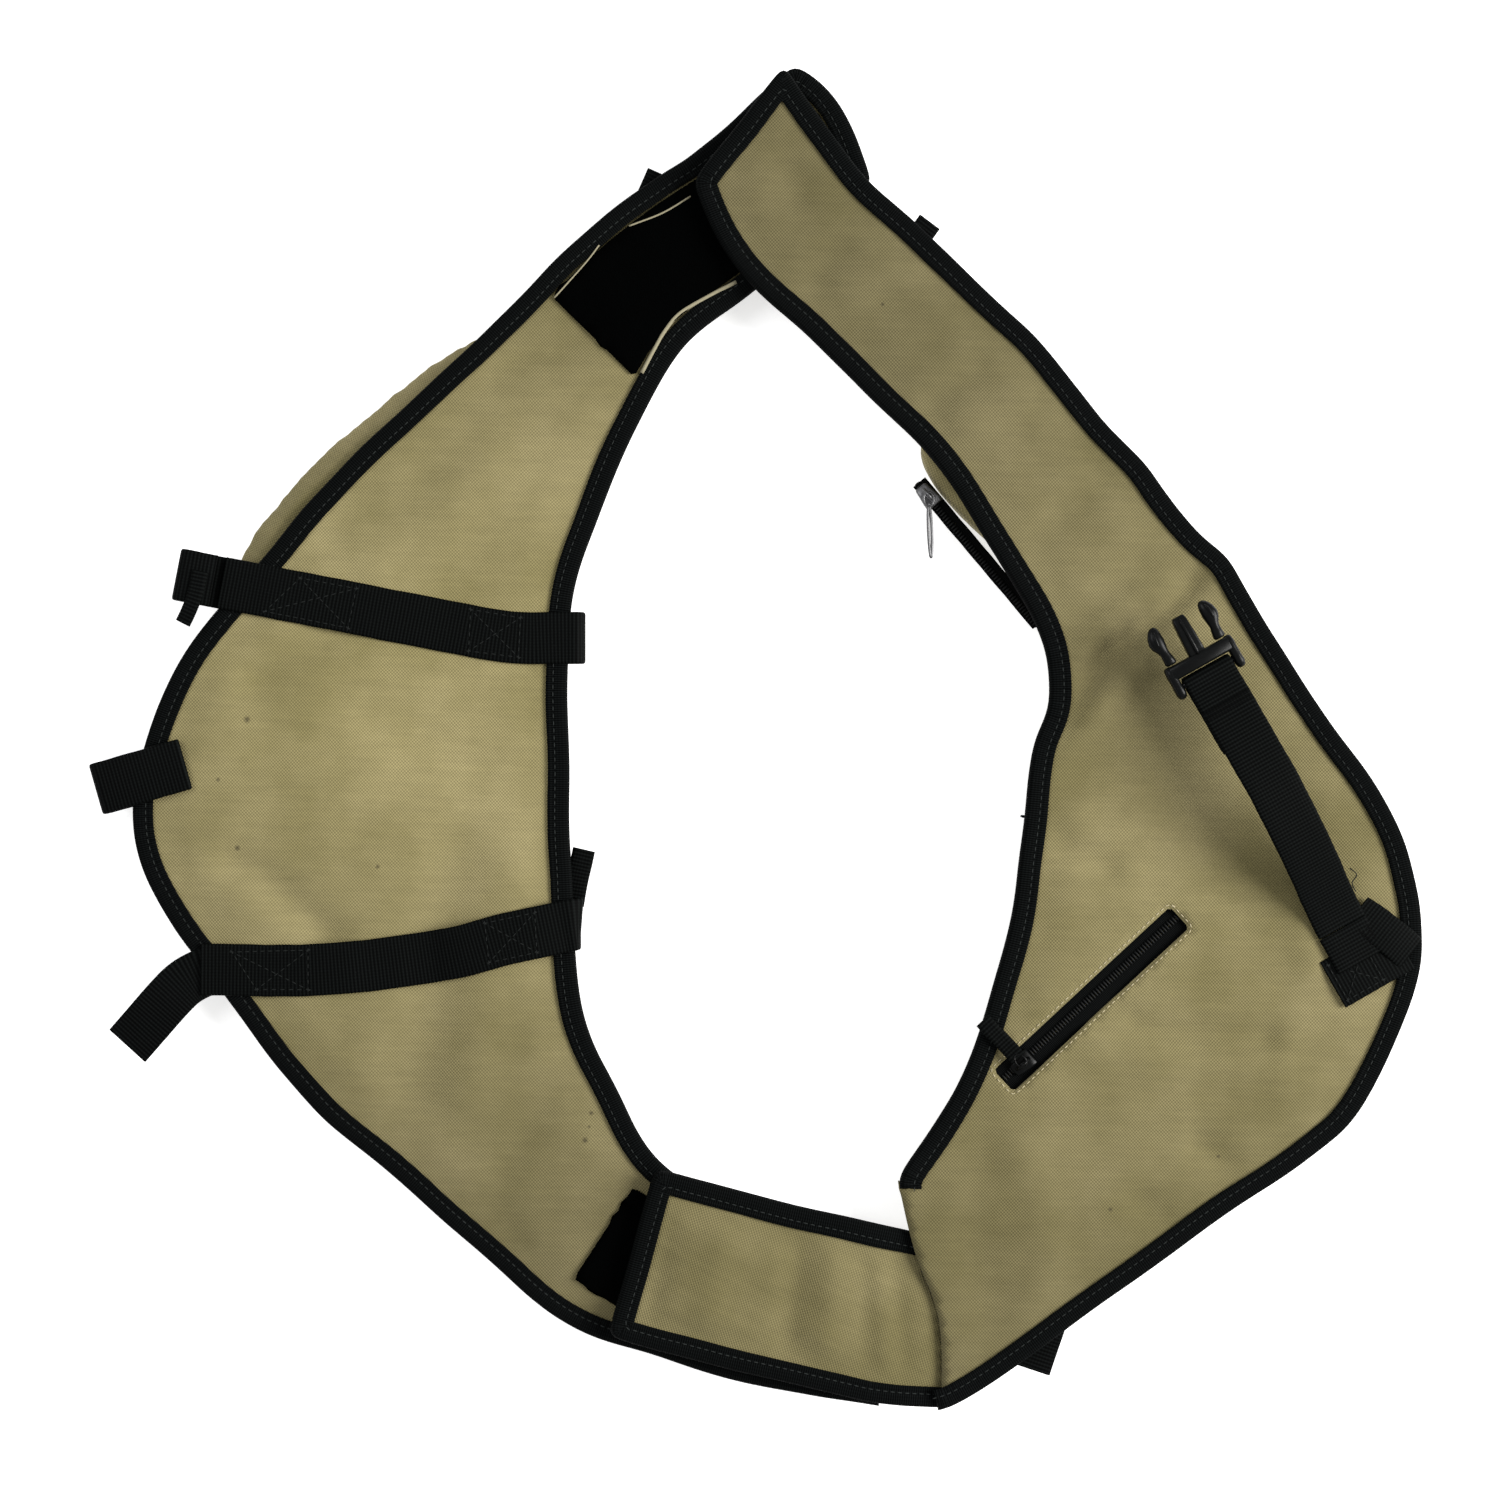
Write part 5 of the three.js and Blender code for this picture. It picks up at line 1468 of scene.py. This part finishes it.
def pocket(name, node, panel, body, seed, shape_folds=()):
    """A zipped pouch under a panel, over its packed outline."""
    outline = lowest_loops(node)[0]
    low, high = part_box(node)
    floor, ceiling = low.z / MM, high.z / MM
    loop = even_loop(rounded(closed(outline), 4.0)[:-1], 4.0)
    rounding = 3.2

    def bottom(points):
        inset = np.minimum(nearest(points, closed(loop))[0], rounding)
        return floor + rounding - np.sqrt(np.maximum(rounding**2 - (rounding - inset) ** 2, 0))

    def roof(points):
        return ceiling - (bottom(points) - floor)

    pad = slab_between(name, [loop], bottom, roof, POCKET_CLOTH, 5.0)
    mesh = pad.modifiers.new("even", "REMESH")
    mesh.mode = "VOXEL"
    mesh.voxel_size = 4.5 * MM
    applied(pad)
    points = swollen(pad, SWELLING_PRESSURE, MOST_SWELLING) / MM
    rest = np.array([v.co for v in pad.data.vertices]) / MM
    ring = closed(loop)

    def outside(places_now):
        gap = nearest(places_now[:, :2], ring)[0]
        return np.where(within(places_now[:, :2], ring[:-1]), -gap, gap)

    shrunk = outside(points) < outside(rest)
    points[shrunk, :2] = rest[shrunk, :2]
    wrinkle = np.array([
        0.9 * noise.noise(Vector((x * 0.03, y * 0.03, z * 0.05 + seed)))
        + 0.4 * noise.noise(Vector((x * 0.09, y * 0.09, z * 0.1 + seed))) for x, y, z in points])
    for path, depth, width in shape_folds:
        wrinkle += depth * np.exp(-(nearest(points[:, :2], rounded(places(*path), 4.0))[0] / width) ** 2)
    side = smooth_step((points[:, 2] - floor) / 3.0)
    middle = points[:, :2].mean(0)
    away = points[:, :2] - middle
    away /= np.maximum(np.linalg.norm(away, axis=1), 1e-6)[:, None]
    on_wall = smooth_step((14.0 - nearest(points[:, :2], closed(loop))[0]) / 8.0)
    points[:, :2] += away * (wrinkle * on_wall * side)[:, None]
    points[:, 2] += np.where(points[:, 2] > (floor + ceiling) / 2, wrinkle, 0.0)
    under = within(points[:, :2], closed(panel.edge)[:-1])
    lid = np.where(under, np.minimum(ceiling, panel.shell(points[:, :2]) - 0.3), ceiling + 2.0)
    points[:, 2] = np.clip(points[:, 2], floor + 0.01, lid)
    pad.data.vertices.foreach_set("co", (points * MM).astype(np.float32).ravel())
    finer = pad.modifiers.new("finer", "SUBSURF")
    finer.levels = finer.render_levels = 1
    applied(pad)
    pad.data.polygons.foreach_set("use_smooth", [True] * len(pad.data.polygons))
    pad.data.materials.clear()
    pad.data.materials.append(POCKET_CLOTH)
    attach(pad, body)
    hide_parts(node)
    seam = moved_in(closed(loop), 6.0)
    seam_line = np.column_stack([seam, np.full(len(seam), floor + STITCH_LIFT)])
    stitches(name + "_seam_stitching", [seam_line], body, TAN_THREAD, 2.2, 3.2)
    return pad


pocket("front_pocket_pouch", "front_pocket", upper, "front_panel", 11.0)
pocket("strap_pocket_pouch", "strap_pocket", upper, "shoulder_strap", 23.0)
pocket("back_pocket_pouch", "back_pocket", back, "back_panel", 37.0,
       [(((-262, 60), (-232, 112), (-180, 158), (-140, 190)), -1.6, 5)])

bag = nodes["inner_pocket_bag"]
bag.data.materials.clear()
bag.data.materials.append(POCKET_CLOTH)

# ---- the buckle strap on the front panel ----
BUCKLE_ALONG = np.array([-0.486241, 0.873825])
BUCKLE_ACROSS = np.array([-0.873825, -0.486241])
strap_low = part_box("buckle_webbing")[0]
strap_root = at(280, -91)


def along_buckle(*triples):
    return np.array([np.append(strap_root + BUCKLE_ALONG * x + BUCKLE_ACROSS * y, z) for x, y, z in triples])


BAR = np.array([213.912, 29.088, 51.1])
ROOT_LEVEL = strap_low.z / MM + WEBBING_THICKNESS / 2
lift = [  # distance from the root, and height above it
    (0, 0.0), (8, 1.3), (20, 6.5), (36, 14.5), (56, 21.6), (78, 24.6), (102, 24.0), (124, 21.4), (133, 20.2)]
upper_run = along_buckle(*[(x, 0, ROOT_LEVEL + z) for x, z in lift])
bar_x = (BAR[:2] - strap_root) @ BUCKLE_ALONG
turn = [(bar_x + 2.75 * math.cos(a), 0, BAR[2] + 2.75 * math.sin(a)) for a in np.linspace(1.7, -1.7, 8)]
under_run = [(bar_x - 6, 0, BAR[2] - 1.9), (bar_x - 18, 0, BAR[2] - 0.4), (bar_x - 30, 0, BAR[2] + 0.5),
             (bar_x - 35.5, 0, BAR[2] + 1.1)]
main_webbing = strip("main", route(upper_run, along_buckle(*turn), along_buckle(*under_run)), 25.2,
                     across=np.append(BUCKLE_ACROSS, 0.0))
keeper = strip("keeper", route(along_buckle(
    (bar_x - 37, 0, BAR[2] + 4.3), (bar_x - 30, 0, BAR[2] + 4.75), (bar_x - 22, 0, BAR[2] + 4.8),
    (bar_x - 15.5, 0, BAR[2] + 4.6))), 25.6, across=np.append(BUCKLE_ACROSS, 0.0))
buckle_webbing = joined("buckle_strap_webbing", [main_webbing, keeper])
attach(buckle_webbing, "buckle_strap")
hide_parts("buckle_webbing")

patch_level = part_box("buckle_patch")[0].z / MM
patch_along = np.array([math.cos(0.52), math.sin(0.52)])


def along_patch(*triples):
    origin = at(276, -119)
    side = np.array([-patch_along[1], patch_along[0]])
    return np.array([np.append(origin + patch_along * x + side * y, z) for x, y, z in triples])


patch_route = along_patch((0, 0, patch_level + 0.7), (12, 0, patch_level + 0.9), (26, 0, patch_level + 0.8),
                          (38, 0, patch_level + 0.2))
patch_piece = strip("square", route(patch_route), WEBBING_WIDTH)
fold_over = strip("fold", route(np.array([
    np.append(at(313, -104), patch_level + 0.6), np.append(at(305, -97), patch_level + 2.2),
    np.append(at(296, -90), patch_level + 2.4), np.append(at(287, -84), patch_level + 1.9)])), 18.0,
    across=np.array([0.62, 0.78, 0.0]))
lead = strip("lead", route(along_buckle((-19, 0, ROOT_LEVEL - 0.5), (-12, 0, ROOT_LEVEL - 0.2),
                                        (-0.6, 0, ROOT_LEVEL))), 25.2, across=np.append(BUCKLE_ACROSS, 0.0))
buckle_patch = joined("buckle_strap_patch", [patch_piece, fold_over, lead])
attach(buckle_patch, "front_panel")
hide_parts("buckle_patch")
patch_top = patch_level + 0.9 + WEBBING_THICKNESS / 2 + 0.15
corner_lines = [(2.5, -9.5), (22, -9.5), (22, 9.5), (2.5, 9.5)]
ring_lines = [along_patch((*a, patch_top), (*b, patch_top)) for a, b in zip(
    corner_lines, corner_lines[1:] + corner_lines[:1])]
cross_lines = [along_patch((*corner_lines[i], patch_top), (*corner_lines[i + 2], patch_top)) for i in (0, 1)]
stitches("buckle_patch_stitching", [resampled(line, 1.5) for line in ring_lines + cross_lines], "front_panel")
loose_end = tube("loose_thread", rounded(np.array([
    np.append(at(286, -74), 36.0), np.append(at(284, -70), 37.2), np.append(at(286, -66), 37.8),
    np.append(at(283, -63), 37.0)]), 0.6), 0.28, DARK_THREAD, 6)
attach(loose_end, "front_panel")


# ---- the buckle's plastic ----
def buckle_part(name, parts, body, node, origin=BAR):
    made = joined(name, parts) if len(parts) > 1 else parts[0]
    made.name = name
    placed(made, origin, (*BUCKLE_ALONG, 0))
    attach(made, body)
    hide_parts(node)


def across_bar(name, x, half_length, thick, high, power=3.0):
    """A bar across the buckle at x, its ends rounded."""
    made = lofted(name, [
        (-half_length, 0, 0, thick * 0.35, high * 0.35), (-half_length + 0.6, 0, 0, thick * 0.8, high * 0.8),
        (-half_length + 2, 0, 0, thick, high), (half_length - 2, 0, 0, thick, high),
        (half_length - 0.6, 0, 0, thick * 0.8, high * 0.8), (half_length, 0, 0, thick * 0.35, high * 0.35)],
        MOULDED, power, 24)
    made.data.transform(Matrix.Translation((x * MM, 0, 0)) @ Matrix.Rotation(math.pi / 2, 4, "Z"))
    return made


def cheek(name, side):
    """The rounded side of the frame, beside the webbing."""
    y = side * 15.7
    return lofted(name, [
        (-5.4, y, 0, 0.9, 1.2), (-4.7, y, 0, 1.9, 2.5), (-2.4, y, 0, 2.5, 3.5), (1, y, 0, 2.3, 3.2),
        (4.5, y, 0, 2.3, 3.1), (8, y, 0, 2.4, 3.3), (10.6, y, 0, 2.0, 2.6), (11.2, y, 0, 1.0, 1.3)],
        MOULDED, 2.6, 20)


tongue = lofted("tongue", [
    (9, 0, 0, 4.2, 2.6), (14, 0, 0.2, 4.0, 2.9), (22, 0, 0.3, 3.7, 3.0), (28, 0, 0.3, 3.3, 2.9),
    (29.6, 0, 0.3, 2.9, 2.4), (30, 0, 0.3, 2.2, 1.7)], MOULDED, 7.0, 28)
ridge = lofted("ridge", [
    (10, 0, 3.0, 0.5, 0.5), (12, 0, 3.3, 0.9, 0.7), (26, 0, 3.4, 0.8, 0.6), (28.6, 0, 3.1, 0.4, 0.4)],
    MOULDED, 2.4, 12)
buckle_part("male_buckle_frame", [
    across_bar("beam", 7.4, 17.0, 3.5, 3.3, 4.0), across_bar("pin", 0.0, 14.2, 1.75, 1.75, 2.0),
    cheek("cheek_left", 1), cheek("cheek_right", -1), tongue, ridge], "male_buckle", "buckle_body")


def prong(name, side, body, node):
    """A springy arm with a rounded head that snaps into the socket's window."""
    arm = lofted(name, [
        (11.4, side * 13.0, 0, 2.0, 1.8), (12.2, side * 13.0, 0, 2.9, 2.4), (15, side * 13.1, 0, 2.6, 2.4),
        (17.6, side * 13.4, 0, 2.3, 2.3), (19.6, side * 13.8, 0, 2.8, 2.6), (21.4, side * 14.2, 0, 3.5, 2.9),
        (24, side * 14.3, 0, 3.9, 3.1), (27, side * 14.0, 0, 3.5, 2.9), (29.4, side * 13.5, 0, 2.6, 2.3),
        (30.8, side * 13.2, 0, 1.5, 1.3), (31.2, side * 13.1, 0, 0.6, 0.6)], MOULDED, 2.3, 22)
    groove = lofted(name + "_rib", [
        (21, side * 14.6, 2.5, 0.4, 0.4), (23, side * 14.7, 2.9, 0.8, 0.5), (27, side * 14.2, 2.8, 0.8, 0.5),
        (29, side * 13.6, 2.3, 0.4, 0.4)], MOULDED, 2.2, 12)
    buckle_part(name, [arm, groove], body, node)


prong("left_buckle_prong", 1, "left_prong", "buckle_prong_left")
prong("right_buckle_prong", -1, "right_prong", "buckle_prong_right")


def softened_copy(name, node, body, material, radius):
    """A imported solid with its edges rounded."""
    mesh = nodes[node].data.copy()
    edit = bmesh.new()
    edit.from_mesh(mesh)
    bmesh.ops.remove_doubles(edit, verts=edit.verts, dist=1e-6)
    bmesh.ops.dissolve_limit(edit, angle_limit=math.radians(1), verts=edit.verts, edges=edit.edges)
    edit.to_mesh(mesh)
    edit.free()
    made = bpy.data.objects.new(name, mesh)
    bpy.context.scene.collection.objects.link(made)
    edge = made.modifiers.new("edge", "BEVEL")
    edge.width = radius * MM
    edge.segments = 3
    edge.limit_method = "ANGLE"
    edge.angle_limit = math.radians(35)
    applied(made)
    made.data.materials.clear()
    made.data.materials.append(material)
    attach(made, body)
    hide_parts(node)
    return made


softened_copy("female_buckle_shell", "buckle_socket", "female_buckle", MOULDED, 0.6)

# ---- floor, light and camera ----
VIEW_CENTRE = (0.0015, -0.0101)
VIEW_WIDTH = 0.7258
VIEW_HEIGHT = 1.25
SUBJECT_LEVEL = 0.026


def floor():
    s = Shader("pale_floor", 0.9, Specular_IOR_Level=0.1, Emission_Strength=0.6, Emission_Color=(1, 1, 1, 1))
    grain = s.noise(s.coordinates(False), 60.0, 2.0)
    s.colour(s.mix(grain, (0.86, 0.86, 0.86, 1), (0.89, 0.89, 0.89, 1)))
    mesh = bpy.data.meshes.new("floor")
    reach = 6.0
    mesh.from_pydata([(-reach, -reach, 0), (reach, -reach, 0), (reach, reach, 0), (-reach, reach, 0)], [],
                     [(0, 1, 2, 3)])
    made = bpy.data.objects.new("floor", mesh)
    mesh.materials.append(s.material)
    bpy.context.scene.collection.objects.link(made)


def area_light(name, place, target, size, power, colour=(1, 1, 1)):
    light = bpy.data.lights.new(name, "AREA")
    light.shape = "DISK"
    light.size = size
    light.energy = power
    light.color = colour
    made = bpy.data.objects.new(name, light)
    bpy.context.scene.collection.objects.link(made)
    made.location = place
    made.rotation_euler = (Vector(target) - Vector(place)).to_track_quat("-Z", "Y").to_euler()


floor()
area_light("key", (2.3, 0.1, 1.55), (0, 0, 0), 1.7, 140, (1.0, 0.99, 0.97))
area_light("fill", (-1.5, 0.7, 1.9), (-0.1, 0, 0), 1.6, 24, (0.97, 0.98, 1.0))
world = bpy.data.worlds.new("studio")
world.use_nodes = True
world.node_tree.nodes["Background"].inputs["Color"].default_value = (1, 1, 1, 1)
world.node_tree.nodes["Background"].inputs["Strength"].default_value = 0.5
bpy.context.scene.world = world
bpy.context.scene.view_settings.view_transform = "Standard"

camera = bpy.data.cameras.new("camera")
camera.sensor_width = 36.0
camera.lens = (VIEW_HEIGHT - SUBJECT_LEVEL) * camera.sensor_width / VIEW_WIDTH
view = bpy.data.objects.new("camera", camera)
view.location = (*VIEW_CENTRE, VIEW_HEIGHT)
bpy.context.scene.collection.objects.link(view)
bpy.context.scene.camera = view
